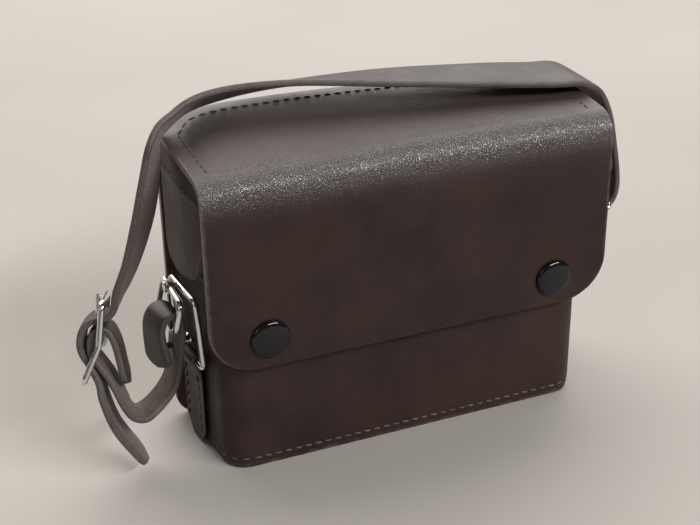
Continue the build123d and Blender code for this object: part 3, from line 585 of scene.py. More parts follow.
def plan_path(inset, back, step):
    """Right half of the case in plan, from the middle of the front to the back edge."""
    half, radius = BODY_HALF - inset, CORNER - inset
    flat = half - radius
    path = [(x, wrap_lo.y + inset) for x in np.linspace(0, flat, int(flat / step))[:-1]]
    for a in np.linspace(0, math.pi / 2, 9):
        path.append((flat + radius * math.sin(a), SIDE_START - radius * math.cos(a)))
    for y in np.linspace(SIDE_START, back, int((back - SIDE_START) / step))[1:]:
        path.append((half + SPLAY * (y - SIDE_START), y))
    return path


def both_sides(half):
    """Mirror a right-hand list of points, whose first lies on the middle, to a full row."""
    return [(-p[0],) + tuple(p[1:]) for p in reversed(half[1:])] + [tuple(p) for p in half]


def lid_lift(x, y, z):
    """How far the lid stands above its front edge: it climbs to the back and is fullest there."""
    climb = min(max((y - FOLD_Y) / (BACK_Y - FOLD_Y), 0.0), 1.0)
    left = x < LID_FULL_X
    reach = (34 if left else 92) * MM
    full = 1 - min(abs(x - LID_FULL_X) / reach, 1) ** (6 if left else 1.4)
    border = LID_BORDER - LID_BORDER_TILT * x / lid_hi.x
    near_top = min(max((z - LID_RIM) / (TOP - LID_RIM - 2 * MM), 0.0), 1.0) ** 1.5
    return (border + LID_FULL * full) * climb * near_top


def lid_rise(x, y, z):
    """The full lift of the lid's top, or of its side where the point is beside it."""
    if z > TOP - 2 * MM:
        return lid_lift(x, y, TOP) + fold_arch(x, y, TOP)
    return lid_lift(math.copysign(lid_hi.x, x), y, z)


def fold_arch(x, y, z):
    """The front fold arches a little in the middle of its length."""
    if z < FOLD_Z:
        return 0.0
    crown = math.cos(x / lid_half(y) * math.pi / 2)
    back = max(0.0, 1 - (y - flap_lo.y) / (BACK_Y - flap_lo.y))
    return FOLD_ARCH * crown * (z - FOLD_Z) / FOLD_R * back


def wrap_leather():
    """The front and sides in one leather: low across the front, full height at the cheeks."""
    mouth, low, radius, high = 53 * MM, 55 * MM, 12 * MM, wrap_hi.z   # of the mouth's opening
    shoulder, inner = low + radius, mouth - radius
    front = list(np.linspace(0, inner, 28))
    front += [inner + radius * math.sin(a) for a in np.linspace(0, math.pi / 2, 7)[1:]]
    columns = [(x, wrap_lo.y) for x in front]
    columns += [p for p in plan_path(0, wrap_hi.y, 1.5 * MM)
                if p[0] > mouth + 0.4 * MM or p[1] > wrap_lo.y + NEAR]

    def lower_top(x):
        """The top of the part below the shoulders of the mouth."""
        across = min(max(x - inner, 0), radius)
        return shoulder - math.sqrt(radius ** 2 - across ** 2)

    lower, upper = 32, 19
    belly, belly_top = 0.35 * MM, 60 * MM
    tuck_depth, tuck_top = 0.45 * MM, 4 * MM
    rows = []
    for step in range(lower + upper + 1):
        half = []
        for x, y in columns:
            z = lower_top(x) * step / lower
            if step > lower:
                z = shoulder + (high - shoulder) * (step - lower) / upper
            swell = 0.0
            if y <= wrap_lo.y + NEAR:
                swell = (belly * math.sin(math.pi * min(z / belly_top, 1))
                         * math.cos(x / BODY_HALF * math.pi / 2))
            tuck = max(0.0, 1 - z / tuck_top) ** 2 * tuck_depth
            half.append((x - tuck * (x / BODY_HALF) ** 8,
                         y - swell + (tuck if y < SIDE_START else 0), z))
        rows.append(both_sides(half))

    def in_mouth(i, j):
        nearest = min(abs(rows[i][k][0]) for k in (j, j + 1))
        return i >= lower and nearest < mouth - 10 * NEAR

    obj = sheet("case_wrap_leather", rows, LEATHER, case_set, gone=in_mouth)
    settle(obj, "case_leather", "case", "front_side_wrap")


def back_leather():
    """The back leather, which turns forward over the back fold and under the lid's edge."""
    bottom_corner, turned_in = 8 * MM, 9 * MM
    under = 0.9 * MM
    rows, profile = [], []
    for y in np.linspace(turned_in, BACK_Y, 5)[:-1]:
        profile.append((y, TOP - under))
    for a in np.linspace(math.pi / 2, 0, 13):
        sink = under * math.sin(a) ** 2
        profile.append((BACK_Y + BACK_R * math.cos(a), BACK_Z + (BACK_R - sink) * math.sin(a)))
    for z in np.linspace(BACK_Z, bottom_corner, 46)[1:]:
        profile.append((back_hi.y, z))
    for a in np.linspace(0, math.pi / 2, 9)[1:]:
        profile.append((back_hi.y, bottom_corner * (1 - math.sin(a))))
    for y, z in profile:
        width = back_hi.x
        if z < bottom_corner:
            rise = bottom_corner - z
            width += math.sqrt(max(bottom_corner ** 2 - rise ** 2, 0)) - bottom_corner
        row = []
        for x in np.linspace(-1, 1, 69):
            belly = 0.5 * MM * math.cos(x * math.pi / 2) * math.sin(math.pi * min(z / BACK_Z, 1))
            px = x * width
            row.append((px, y + max(belly, 0) * (y > BACK_Y), z + lid_lift(px, y, z)))
        rows.append(row)

    def fold(p):
        return math.exp(-((p[2] - BACK_Z - 2 * MM) / (7 * MM)) ** 2)

    obj = sheet("case_back_leather", rows, LEATHER, lid_set, fold=fold)
    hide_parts("back_panel")
    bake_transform(obj)


def tray(name, inset, back, outer_z, inner_z, rim_z, thickness, materials):
    """A floor with an upturned edge, as one closed skin of loops."""
    loops = []
    for more, z in ((26, 0), (14, 0), (6, 0), (2.4, 0), (0.9, 0.12), (0.25, 0.45), (0, 1.2)):
        loops.append((inset + more * MM, outer_z + z * MM))
    if rim_z > inner_z + 1 * MM:
        loops += [(inset, (outer_z + rim_z) / 2), (inset, rim_z - 0.4 * MM),
                  (inset + thickness / 2, rim_z), (inset + thickness, rim_z - 0.4 * MM),
                  (inset + thickness, inner_z + 1.5 * MM), (inset + thickness + 1 * MM, inner_z)]
    else:
        loops += [(inset + 0.3 * MM, inner_z - 0.15 * MM), (inset + 1 * MM, inner_z)]
    for more in (6, 14, 26):
        loops.append((inset + more * MM, inner_z))
    rings = []
    for more, z in loops:
        spread = min(more, 7.4 * MM)
        row = plan_path(spread, back - (more - inset), 3 * MM)
        lower = wrap_lo.y + more
        ring = []
        for x, y in both_sides(row):
            keep = 1 - max(more - spread, 0) / BODY_HALF
            ring.append(Vector((x * keep, max(y, lower), z)))
        rings.append(ring)
    n = len(rings[0])
    verts = [p for ring in rings for p in ring]
    faces = []
    for i in range(len(rings) - 1):
        for j in range(n):
            k = (j + 1) % n
            faces.append((i * n + j, (i + 1) * n + j, (i + 1) * n + k, i * n + k))
    faces += [tuple(range(n)), tuple((len(rings) - 1) * n + j for j in reversed(range(n)))]
    return remember_rest(face_outward(new_object(name, verts, faces, materials)))


def base_and_linings():
    """The turned-up base, the velvet floor pad and the velvet round the pocket."""
    obj = tray("case_base_leather", 2.05 * MM, wrap_hi.y, 0, 2 * MM, 8 * MM, 1.95 * MM, case_set)
    settle(obj, "case_leather", "case", "base_tray")
    pad_lo, pad_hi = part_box("floor_pad")
    obj = tray("floor_pad_velvet", 5 * MM, pad_hi.y, pad_lo.z, pad_hi.z, 0, 0, [pile])
    settle(obj, "lining", "case", "floor_pad")
    lining_lo, lining_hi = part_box("pocket_lining")
    rows = [[(x, y, z) for x, y in both_sides(plan_path(LEATHER + 0.05 * MM, lining_hi.y, 2 * MM))]
            for z in np.linspace(lining_lo.z, lining_hi.z, 14)]
    obj = sheet("pocket_velvet", rows, 0.6 * MM, [pile, pile, pile], 0.15 * MM)
    settle(obj, "lining", "case", "pocket_lining")


def lid_half(y):
    """Half width of the lid at depth y: a little wider at the back."""
    t = (y - flap_lo.y) / (back_hi.y - flap_lo.y)
    return flap_hi.x + (lid_hi.x - flap_hi.x) * t


def lid_and_flap_leather():
    """The lid and the long front flap, one leather over the front fold."""
    corner = 14.5 * MM
    profile = []
    for a in np.linspace(math.pi / 2, 0, 15)[:-1]:
        profile.append((flap_lo.y, flap_lo.z + corner * (1 - math.sin(a)),
                        corner * (1 - math.cos(a))))
    for z in np.linspace(flap_lo.z + corner, FOLD_Z, 26):
        profile.append((flap_lo.y, z, 0))
    for a in np.linspace(0, math.pi / 2, 15)[1:]:
        profile.append((FOLD_Y - FOLD_R * math.cos(a), FOLD_Z + FOLD_R * math.sin(a), 0))
    for y in np.linspace(FOLD_Y, BACK_Y + 1.2 * MM, 18)[1:]:
        profile.append((y, TOP, 0))
    rows = []
    for y, z, narrower in profile:
        half = lid_half(y) - narrower
        row = []
        for t in np.linspace(-1, 1, 77):
            u = math.copysign(1 - (1 - abs(t)) ** 1.15, t)
            x = u * half
            crown = math.cos(x / lid_half(y) * math.pi / 2)
            py, pz = y, z + lid_lift(x, y, z) + fold_arch(x, y, z)
            if y <= flap_lo.y + NEAR:
                t_down = (FOLD_Z - z) / (FOLD_Z - flap_lo.z)
                py += 0.5 * MM * math.sin(math.pi * t_down) * crown
                py -= 0.35 * MM * max(0.0, abs(x) / flap_hi.x - 0.9) * 10 * t_down
            row.append((x, py, pz))
        rows.append(row)

    def fold(p):
        """Strongest a little above the start of the bend, fading either way along the leather."""
        along = p[2] - FOLD_Z
        if p[1] >= flap_lo.y + 1 * MM:
            along = FOLD_R * math.pi / 2 + p[1] - FOLD_Y
        past = along - 4 * MM
        return math.exp(-(past / ((11 if past < 0 else 9) * MM)) ** 2)

    obj = sheet("lid_and_flap_leather", rows, LEATHER, lid_set, fold=fold)
    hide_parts("lid_top", "front_flap")
    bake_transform(obj)


def side_sheet(name, side, rows, out, thickness, bulge):
    """A flat leather beside the wall from rows of (height, front edge, back edge)."""
    grid = []
    for z, y0, y1 in rows:
        row = []
        for t in np.linspace(0, 1, 22):
            y = y0 + (y1 - y0) * t
            lift = bulge * math.sin(math.pi * t)
            spot = side_point(side, y, out + thickness + lift, z)
            row.append(spot + Vector((0, 0, lid_lift(side * lid_hi.x, y, z))))
        grid.append(row if side > 0 else row[::-1])
    return sheet(name, grid, thickness, case_set, edge=0.4 * MM)


def ear_edge(z, low, high):
    """Front edge of the ear at height z: it curves back toward the tongue's tip."""
    t = (z - low) / (high - low)
    return -18.0 * MM + 13.0 * MM * (1 - min(t / 0.85, 1)) ** 1.35


def lid_ears():
    """The rounded tongues at the lid's ends and the narrow bands sewn over them."""
    for side, word in ((-1, "left"), (1, "right")):
        lo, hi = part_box("lid_ear_" + word)
        rows, round_tip = [], 7 * MM
        for t in np.linspace(0, 1, 34):
            z = lo.z + (hi.z - lo.z) * t ** 1.25
            dip = max(0.0, 1 - (z - lo.z) / round_tip)
            pull = round_tip * (1 - math.sqrt(max(1 - dip ** 2, 0)))
            top = max(0.0, 1 - (hi.z - z) / (6 * MM))
            front = ear_edge(z, lo.z, hi.z) + pull + 5.4 * MM * (1 - math.sqrt(1 - top ** 2))
            back = hi.y - pull * 0.7 - 3.5 * MM * (1 - math.sqrt(1 - top ** 2))
            rows.append((z, front, back))
        ear = side_sheet(f"lid_ear_{word}_leather", side, rows, 0.4 * MM, LEATHER, 0.5 * MM)
        settle(ear, "lid_leather", "lid", "lid_ear_" + word)
        lip_low, hi = 88.9 * MM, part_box("lid_lip_" + word)[1]
        rows = []
        for t in np.linspace(0, 1, 9):
            z = lip_low + (hi.z - lip_low) * t
            top = max(0.0, 1 - (hi.z - z) / (4 * MM))
            rows.append((z, -17.4 * MM + 4 * MM * top ** 2, hi.y - 3.4 * MM * top ** 2))
        lip = side_sheet(f"lid_lip_{word}_leather", side, rows, 2.45 * MM, 1.0 * MM, 0.35 * MM)
        settle(lip, "lid_leather", "lid", "lid_lip_" + word)


def side_tabs():
    """The strips sewn to the sides, each folded round the lower bar of its ring."""
    for side, word in ((-1, "left"), (1, "right")):
        front, back = -2.0 * MM, 10.6 * MM
        profile = [(2.0, 0.5), (2.05, 2.5), (2.1, 6), (2.15, 12), (2.15, 18), (2.15, 24),
                   (2.3, 27), (2.8, 28.9), (3.7, 30.4), (4.3, 31.6), (4.3, 32.8), (3.6, 33.8),
                   (2.5, 34.2), (1.3, 33.9), (0.5, 33.0)]
        grid = []
        for out, z in smooth([(o * MM, z * MM) for o, z in profile], 3):
            narrow = 4 * MM * max(0.0, 1 - z / (6 * MM)) ** 1.4
            row = [side_point(side, y, out, z)
                   for y in np.linspace(front + narrow, back - narrow, 12)]
            grid.append(row if side > 0 else row[::-1])
        tab = sheet(f"side_tab_{word}_leather", grid, 1.1 * MM, case_set, edge=0.35 * MM)
        settle(tab, "case_leather", "case", "side_tab_" + word)


# ---- thread ----

def one_stitch(verts, faces, start, end, out, radius):
    """A thread lying on the leather, its two ends diving into their holes."""
    start, end, out = Vector(start), Vector(end), Vector(out).normalized()
    along = end - start
    across = along.normalized().cross(out)
    base = len(verts)
    shape = ((0.0, -1.3, 0.62), (0.1, -0.2, 0.85), (0.25, 0.5, 1.0), (0.5, 0.62, 1.04),
             (0.75, 0.5, 1.0), (0.9, -0.2, 0.85), (1.0, -1.3, 0.62))
    sides = 8
    for t, lift, fat in shape:
        centre = start + along * t + out * radius * lift
        for k in range(sides):
            a = 2 * math.pi * k / sides
            verts.append(centre + (across * math.cos(a) + out * math.sin(a) * 0.8) * radius * fat)
    for i in range(len(shape) - 1):
        for k in range(sides):
            a, b = base + i * sides + k, base + i * sides + (k + 1) % sides
            faces.append((a, b, b + sides, a + sides))
    faces.append(tuple(base + k for k in range(sides))[::-1])
    faces.append(tuple(base + (len(shape) - 1) * sides + k for k in range(sides)))


def stitched(name, node, rows, radius, material, body, seed, lift=None):
    """Rows of stitches as one piece; a row is (start, end, outward direction)."""
    rng = random.Random(seed)
    verts, faces = [], []
    for start, end, out in rows:
        start, end = Vector(start), Vector(end)
        length = (end - start).length
        count = max(1, round(length / STITCH))
        along = (end - start) / length
        across = along.cross(Vector(out)).normalized()
        for i in range(count):
            middle = start + along * (length * (i + 0.5) / count)
            reach = STITCH * 0.36 * rng.uniform(0.94, 1.06)
            slant = across * 0.13 * MM * rng.uniform(0.4, 1.4)
            ends = [middle - along * reach - slant, middle + along * reach + slant]
            if lift is not None:
                ends = [p + Vector((0, 0, lift(p.x, p.y, p.z))) for p in ends]
            one_stitch(verts, faces, ends[0], ends[1], out, radius)
    obj = new_object(name, verts, faces, [material])
    settle(face_outward(obj), "thread", body, node)


def all_stitching():
    """Every row of thread: base seam, back seam, side tabs and lid."""
    front, low, flat = wrap_lo.y, 3.6 * MM, BODY_HALF - CORNER
    rows = [((-flat, front, low), (flat, front, low), (0, -1, 0))]
    for s in (-1, 1):
        turns = [math.radians(d) for d in (0, 30, 60, 90)]
        for a, b in zip(turns, turns[1:]):
            ends = [(s * (flat + CORNER * math.sin(t)), SIDE_START - CORNER * math.cos(t), low)
                    for t in (a, b)]
            middle = (a + b) / 2
            rows.append((*ends, (s * math.sin(middle), -math.cos(middle), 0)))
        out = (s, -SPLAY, 0)
        for y0, y1 in ((SIDE_START + 1 * MM, -3 * MM), (12 * MM, 18 * MM)):
            rows.append((side_point(s, y0, 0, low), side_point(s, y1, 0, low), out))
    stitched("base_seam_thread", "base_stitching", rows, 0.28 * MM, thread, "case", 3)
    x, y = back_hi.x - 2.2 * MM, back_hi.y + 0.1 * MM
    rows = [((s * x, y, 9 * MM), (s * x, y, 90 * MM), (0, 1, 0)) for s in (-1, 1)]
    stitched("back_seam_thread", "back_seam_stitching", rows, 0.34 * MM, thread, "case", 4)
    rows = []
    for s in (-1, 1):
        for y in (-0.8 * MM, 9.4 * MM):
            rows.append((side_point(s, y, 2.15 * MM, 6 * MM), side_point(s, y, 2.2 * MM, 27 * MM),
                         (s, -SPLAY, 0)))
    stitched("side_tab_thread", "side_tab_stitching", rows, 0.42 * MM, thread, "case", 5)
    top, inset, turn, seam_y = TOP + 0.02 * MM, 5 * MM, 4 * MM, 14.6 * MM
    front_x, back_x = lid_half(FOLD_Y) - inset, lid_half(BACK_Y) - inset
    up = (0, 0, 1)
    rows = []
    for s in (-1, 1):
        corner = (s * back_x, seam_y - turn, top)
        rows.append(((s * front_x, FOLD_Y, top), corner, up))
        rows.append((side_point(s, -14 * MM, 3.65 * MM, 90.8 * MM),
                     side_point(s, 15.6 * MM, 3.65 * MM, 91.9 * MM), (s, -SPLAY, 0)))
        rows.append((corner, (s * (back_x - turn), seam_y, top), up))
    reach = back_x - turn
    rows.append(((-reach, seam_y, top), (reach, seam_y, top), up))
    stitched("lid_thread", "lid_stitching", rows, 0.22 * MM, dark_thread, "lid", 6, lid_rise)


# ---- strap ----

# everything in this section is in millimetres until strap_piece scales it
STRAP_WIDTH = 12.0
RIGHT_Y = 2.0
BUCKLE_AT = Vector((-93.4, 0, 45.1))
BUCKLE_LEAN, BUCKLE_DIP = 0.34, -0.27
BUCKLE_RIGHT = Vector((1, -BUCKLE_LEAN, 0)).normalized()
BUCKLE_UP = BUCKLE_RIGHT.cross(Vector((BUCKLE_LEAN, 1, BUCKLE_DIP)).normalized())

# rows of x, y, z, width, lean and dip: the width runs along (lean, 1, dip)
TAIL_RUN = [(-84.8, -6.0, 3.6, 12.0, 0.2, -0.1), (-92.4, -5.7, 17.5, 12.0, 0.3, -0.2),
            (-95.4, -4.5, 28.3, 12.0, 0.34, -0.27)]
ARCH_RUN = [(-86.2, 1.2, 60.6, 12.0, 0.54, -0.37), (-81.6, 2.0, 69.5, 12.0, 0.7, -0.42),
            (-77.2, 2.0, 82.5, 12.0, 0.88, -0.44), (-74.4, 2.0, 94.2, 12.0, 0.78, -0.48),
            (-71.6, 4.0, 104.1, 12.0, 0.5, -0.5), (-66.0, 8.2, 108.4, 12.0, 0.28, -0.62),
            (-54.8, 11.6, 112.3, 12.0, 0.05, -0.7), (-32.3, 12.0, 113.4, 14.0, 0.0, -0.42),
            (1.6, 9.6, 111.4, 17.5, 0.0, -0.1), (37.1, 7.2, 107.8, 20.5, 0.0, 0.0),
            (56.0, 6.0, 105.6, 22.3, 0.0, 0.0), (66.5, 6.0, 104.4, 22.3, 0.0, 0.0),
            (73.2, 6.0, 100.2, 21.5, 0.0, 0.0), (77.6, 5.0, 92.0, 18.5, 0.0, 0.0),
            (80.4, 3.6, 82.0, 14.5, 0.0, 0.0), (82.0, 2.2, 73.0, 12.2, 0.0, 0.0)]
SLACK_RUN = [(-74.2, -1.1, 26.6, 12.0, 0.04, -0.03), (-78.9, -2.7, 22.2, 12.0, 0.1, -0.07),
             (-84.0, -4.5, 20.4, 12.0, 0.16, -0.12), (-87.6, -5.3, 22.4, 12.0, 0.24, -0.18),
             (-89.7, -5.4, 26.6, 12.0, 0.3, -0.24)]
# x and z of the two end loops, and the buckle loops as (right, up) in the buckle's plane
RIGHT_LOOP = [(82.7, 66.0), (81.6, 61.0), (78.6, 58.4), (75.7, 60.4), (75.5, 64.4), (77.9, 69.0),
              (79.3, 73.5), (78.6, 79.0)]
RING_LOOP = [(-76.4, 32.4), (-76.9, 37.0), (-77.4, 42.0), (-77.3, 47.0), (-75.6, 50.4),
             (-72.8, 51.2), (-70.6, 49.2), (-70.1, 45.0), (-70.8, 39.5), (-71.9, 32.8)]
LONG_LOOP = [(-1.3, -12.0), (-3.6, -6.2), (-5.6, -2.3), (-6.1, 1.1), (-5.1, 4.9), (-2.5, 7.4),
             (0.5, 8.0), (3.1, 9.0), (4.9, 11.5)]
SHORT_LOOP = [(3.7, -14.6), (1.5, -10.0), (-1.0, -6.1), (-2.9, -3.1), (-3.3, 0.7), (-2.3, 3.4),
              (-0.2, 4.9), (2.2, 4.3), (3.7, 1.6), (4.8, -2.4), (5.7, -8.0), (6.7, -13.2)]


def flat_rows(points, y, lean=0.0):
    """Rows for a loop that bends upright; lean turns its free end, easing out along it."""
    last = len(points) - 1
    return [(x, y, z, STRAP_WIDTH, lean * (1 - i / last) ** 2, 0.0)
            for i, (x, z) in enumerate(points)]


def buckle_rows(points):
    """Rows for a loop round the buckle, whose points are in the buckle's plane."""
    places = [BUCKLE_AT + BUCKLE_RIGHT * right + BUCKLE_UP * up for right, up in points]
    return [(*p, STRAP_WIDTH, BUCKLE_LEAN, BUCKLE_DIP) for p in places]


def strap_section(width):
    """Rounded strap section as (across, out) points and the material of each side."""
    crown, r, flat = 0.12 * MM, 0.75 * MM, 9
    hw, ht = width / 2, LEATHER / 2
    across = np.linspace(-(hw - r), hw - r, flat)
    round_edge = np.linspace(math.pi / 2, -math.pi / 2, 7)[1:-1]

    def edge_point(side, a):
        return (side * (hw - r) + r * math.cos(a),
                math.copysign(ht - r, math.sin(a) + 1e-9) + r * math.sin(a))

    points = [(u, ht + crown * (1 - (u / hw) ** 2)) for u in across]
    points += [edge_point(1, a) for a in round_edge]
    points += [(u, -ht) for u in across[::-1]]
    points += [edge_point(-1, a + math.pi) for a in round_edge]
    # the side that follows the last point of each flat is already the cut edge
    rounds = len(round_edge)
    marks = [0] * (flat - 1) + [1] * (rounds + 1) + [2] * (flat - 1) + [1] * (rounds + 1)
    return points, marks


def strap_piece(name, node, rows, steps, end_round, seed):
    """A ribbon of leather through rows of places, widths and tilts, in millimetres.

    end_round holds the length over which each end narrows to its rounded tip.
    """
    path = smooth(rows, steps)
    rng = np.random.default_rng(seed)
    sway = np.cumsum(rng.normal(0, 0.012, len(path)))
    sway -= np.linspace(sway[0], sway[-1], len(path))
    gaps = np.linalg.norm(np.diff(path[:, :3], axis=0), axis=1)
    lengths = np.concatenate([[0], np.cumsum(gaps)])
    sections, marks = [], None
    for i, (x, y, z, width, lean, dip) in enumerate(path):
        ahead = Vector(path[min(i + 1, len(path) - 1)][:3])
        behind = Vector(path[max(i - 1, 0)][:3])
        along = (ahead - behind).normalized()
        side = Vector((lean, 1, dip))
        side = (side - along * side.dot(along)).normalized()
        out = along.cross(side)
        narrow = 1.0
        for gap, wanted in zip((lengths[i], lengths[-1] - lengths[i]), end_round):
            if gap < wanted:
                narrow = min(narrow, math.sqrt(max(1 - (1 - gap / wanted) ** 2, 0.03)))
        points, marks = strap_section(max(width * narrow, 2.2) * MM)
        middle = Vector((x, y, z)) * MM
        twist = sway[i] * 0.12
        sections.append([middle + side * u + out * (h + twist * u) for u, h in points])
    obj = swept(name, sections, strap_set, marks)
    settle(remember_rest(face_outward(obj)), "strap_leather", "strap", node)


def straps():
    """The long strap, from its tail through the buckle to the right ring, and the short one."""
    long_rows = TAIL_RUN + buckle_rows(LONG_LOOP) + ARCH_RUN + flat_rows(RIGHT_LOOP, RIGHT_Y)
    strap_piece("long_strap_leather", "long_strap", long_rows, 6, (5.0, 4.0), 11)
    short_rows = flat_rows(RING_LOOP, 0.0, -0.5) + SLACK_RUN + buckle_rows(SHORT_LOOP)
    strap_piece("short_strap_leather", "short_strap", short_rows, 5, (4.0, 4.0), 12)


def rivet_domes():
    """A domed rivet through each folded strap end, with its washer head inside."""
    turned = []
    for side, y, z, inner, outer, turn in ((-1, 0, 38.5, 69.0, 78.4, -0.28),
                                           (1, RIGHT_Y, 73.2, 77.4, 83.4, 0)):
        profile = [(0, inner - 0.5), (1.7, inner - 0.45), (2.0, inner), (1.0, inner + 0.05),
                   (1.0, outer), (3.0, outer), (3.05, outer + 0.15), (2.8, outer + 0.45),
                   (2.2, outer + 0.85), (1.3, outer + 1.12), (0.5, outer + 1.2), (0, outer + 1.2)]
        start = (0, (y - turn * outer * 0.97) * MM, z * MM)
        turned.append((profile, start, (side, turn, 0)))
    settle(lathe("strap_rivet_domes", turned, chrome, 32), "chrome_wire", "strap", "strap_rivets")


def cap_domes():
    """The glossy black caps of the two press studs."""
    profile = [(0, -1.95), (1.6, -1.93), (3.2, -1.84), (4.5, -1.68), (5.3, -1.48), (5.8, -1.2),
               (6.1, -0.8), (6.25, -0.35), (6.2, 0.05), (5.6, 0.05), (2.0, 0.05), (2.0, 2.3),
               (0, 2.3)]
    turned = [(profile, (x, flap_lo.y + 0.1 * MM, SNAP_Z), (0, 1, 0)) for x in (-SNAP_X, SNAP_X)]
    settle(lathe("snap_cap_domes", turned, black_cap, 48), "snap_cap", "flap", "snap_caps")


# ---- meter ----

def cad_parts():
    """Metal, meter and movement keep their CAD shape and take their finishes."""
    finishes = {
        chrome: ("case_ring_left", "case_ring_right", "link_ring_left", "link_ring_right",
                 "buckle_frame", "buckle_prong"),
        snap_metal: ("snap_studs", "snap_posts", "snap_sockets"),
        housing: ("meter_front_shell", "meter_back_shell", "range_slider", "cell_holder"),
        trim_metal: ("window_bezel", "cell_bezel", "housing_screws", "zero_adjuster",
                     "cell_contact_ring"),
        brass: ("front_bridge", "rear_bridge", "hairsprings"),
        iron: ("magnet_ring", "pole_core"),
        copper: ("moving_coil", "lead_wires"),
        laminate: ("resistor_board", "switch_wafer"),
        resistor_body: ("resistors",),
        selenium: ("selenium_cell",),
        opal_lens: ("cell_diffuser",),
        glass: ("window_glass",),
        dial_paint: ("dial_plate",),
        red_ink: ("needle",),
    }
    thin = ("hairsprings", "lead_wires", "needle", "cell_contact_ring") + finishes[chrome]
    for material, nodes in finishes.items():
        bevel = 0.12 * MM if material == snap_metal else 0.15 * MM
        for node in nodes:
            cad(node, material, 0 if node in thin else bevel)


def dial_scale():
    """Printed arcs, ticks and plain numbers on the dial, spread over the needle's swing."""
    pivot_x, pivot_z, swing = 17.5 * MM, 65 * MM, math.radians(84)
    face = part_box("dial_plate")[0].y - 0.03 * MM
    arc_parts, ticks, numbers, long_every = 48, 30, 6, 5
    tick_foot, number_radius = 18.0 * MM, 21.6 * MM
    verts, faces = [], []

    def quad(points):
        base = len(verts)
        verts.extend(points)
        faces.append((base, base + 1, base + 2, base + 3))

    def spot(radius, angle):
        return (pivot_x + radius * math.sin(angle), face, pivot_z + radius * math.cos(angle))

    def angle_at(i, count):
        return -swing / 2 + swing * i / count

    for inner, outer in ((17.6 * MM, tick_foot), (14.2 * MM, 14.4 * MM)):
        for i in range(arc_parts):
            a0, a1 = angle_at(i, arc_parts), angle_at(i + 1, arc_parts)
            quad([spot(inner, a0), spot(inner, a1), spot(outer, a1), spot(outer, a0)])
    for i in range(ticks + 1):
        a = angle_at(i, ticks)
        tip, wide = tick_foot + 1.1 * MM, 0.006
        if i % long_every == 0:
            tip, wide = tick_foot + 2.0 * MM, 0.012
        quad([spot(tick_foot, a - wide), spot(tick_foot, a + wide),
              spot(tip, a + wide), spot(tip, a - wide)])
    obj = new_object("dial_scale_print", verts, faces, [ink])
    modifier(obj, "SOLIDIFY", thickness=0.03 * MM, offset=0)
    bake(obj)
    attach(obj, "case")
    for i in range(numbers + 1):
        a = angle_at(i, numbers)
        curve = bpy.data.curves.new(f"dial_number_{i}", "FONT")
        curve.body = str(2 * i)
        curve.size = 2.6 * MM
        curve.align_x, curve.align_y = "CENTER", "CENTER"
        curve.extrude = 0.02 * MM
        text = placed(curve.name, curve)
        text.matrix_world = (Matrix.Translation(spot(number_radius, a))
                             @ Matrix.Rotation(a, 4, "Y") @ Matrix.Rotation(math.pi / 2, 4, "X"))
        bpy.context.view_layer.update()
        matrix = text.matrix_world.copy()
        plain = bake(text)
        plain.data.transform(matrix)
        plain.data.materials.clear()
        plain.data.materials.append(ink)
        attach(plain, "case")


# ---- lights, floor and camera ----

FLOOR_HALF = 4
CAMERA_AT = (-0.1585, -0.3609, 0.2559)
CAMERA_TURN = (-22.0, 27.3, -0.8422)  # azimuth, elevation and roll in degrees
CAMERA_LENS = 70.98


def floor():
    """A pale matt floor, level with the object's rest face."""
    m = Nodes("floor")
    at = m.place()
    cloud = m.noise(at, 3, 3, 0.5)
    m.set(Base_Color=m.mix(m.ramp(cloud, 0.3, 0.7), (0.40, 0.37, 0.335), (0.45, 0.415, 0.375)),
          Roughness=0.7)
    corners = [(x * FLOOR_HALF, y * FLOOR_HALF, 0) for x, y in ((-1, -1), (1, -1), (1, 1), (-1, 1))]
    obj = new_object("floor", corners, [(0, 1, 2, 3)], [m.done()])
    obj.location.z = cad_box[0][2]


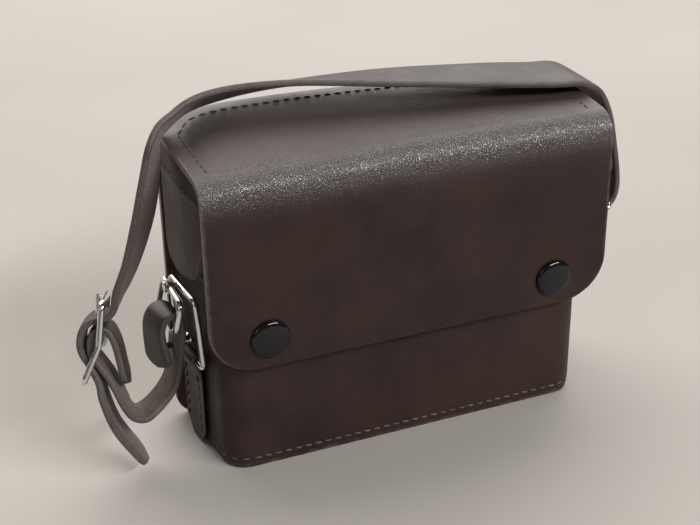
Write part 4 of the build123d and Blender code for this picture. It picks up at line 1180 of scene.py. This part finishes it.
def area_light(name, place, target, size, power, tint):
    """A rectangular light at place, turned to the target."""
    light = bpy.data.lights.new(name, "AREA")
    light.shape = "RECTANGLE"
    light.size, light.size_y = size
    light.energy = power
    light.color = tint
    obj = placed(name, light)
    obj.location = place
    obj.rotation_euler = (Vector(target) - Vector(place)).to_track_quat("-Z", "Y").to_euler()


def studio():
    """A big soft light behind like a bright wall, a strip in front and a weak fill."""
    world = bpy.data.worlds.new("studio")
    bpy.context.scene.world = world
    bpy.context.scene.view_settings.view_transform = "Standard"
    world.use_nodes = True
    back = world.node_tree.nodes["Background"]
    back.inputs["Color"].default_value = (1.0, 0.98, 0.95, 1)
    back.inputs["Strength"].default_value = 0.10
    area_light("wall", (0.12, 1.00, 1.15), (0, 0, 0.08), (2.7, 2.0), 44.0, (1, 0.98, 0.95))
    area_light("strip", (0.95, -1.60, 1.50), (0, 0, 0.09), (1.7, 0.14), 50.0, (0.98, 0.99, 1))
    area_light("window", (-1.0, -0.5, 0.6), (0, 0, 0.05), (0.6, 0.6), 1.0, (0.95, 0.97, 1))


def camera():
    """From the front left, a little above."""
    azimuth, elevation, roll = (math.radians(angle) for angle in CAMERA_TURN)
    level = Vector((math.sin(azimuth), -math.cos(azimuth), 0)) * math.cos(elevation)
    back = level + Vector((0, 0, math.sin(elevation)))
    right = Vector((0, 0, 1)).cross(back).normalized()
    up = back.cross(right)
    right, up = (right * math.cos(roll) + up * math.sin(roll),
                 up * math.cos(roll) - right * math.sin(roll))
    data = bpy.data.cameras.new("camera")
    data.lens, data.sensor_width = CAMERA_LENS, 36.0
    data.clip_start = 0.01
    obj = placed("camera", data)
    turn = Matrix((right, up, back)).transposed().to_4x4()
    obj.matrix_world = Matrix.Translation(CAMERA_AT) @ turn
    bpy.context.scene.camera = obj


wrap_leather()
back_leather()
base_and_linings()
lid_and_flap_leather()
lid_ears()
side_tabs()
all_stitching()
straps()
rivet_domes()
cap_domes()
cad_parts()
dial_scale()
floor()
studio()
camera()
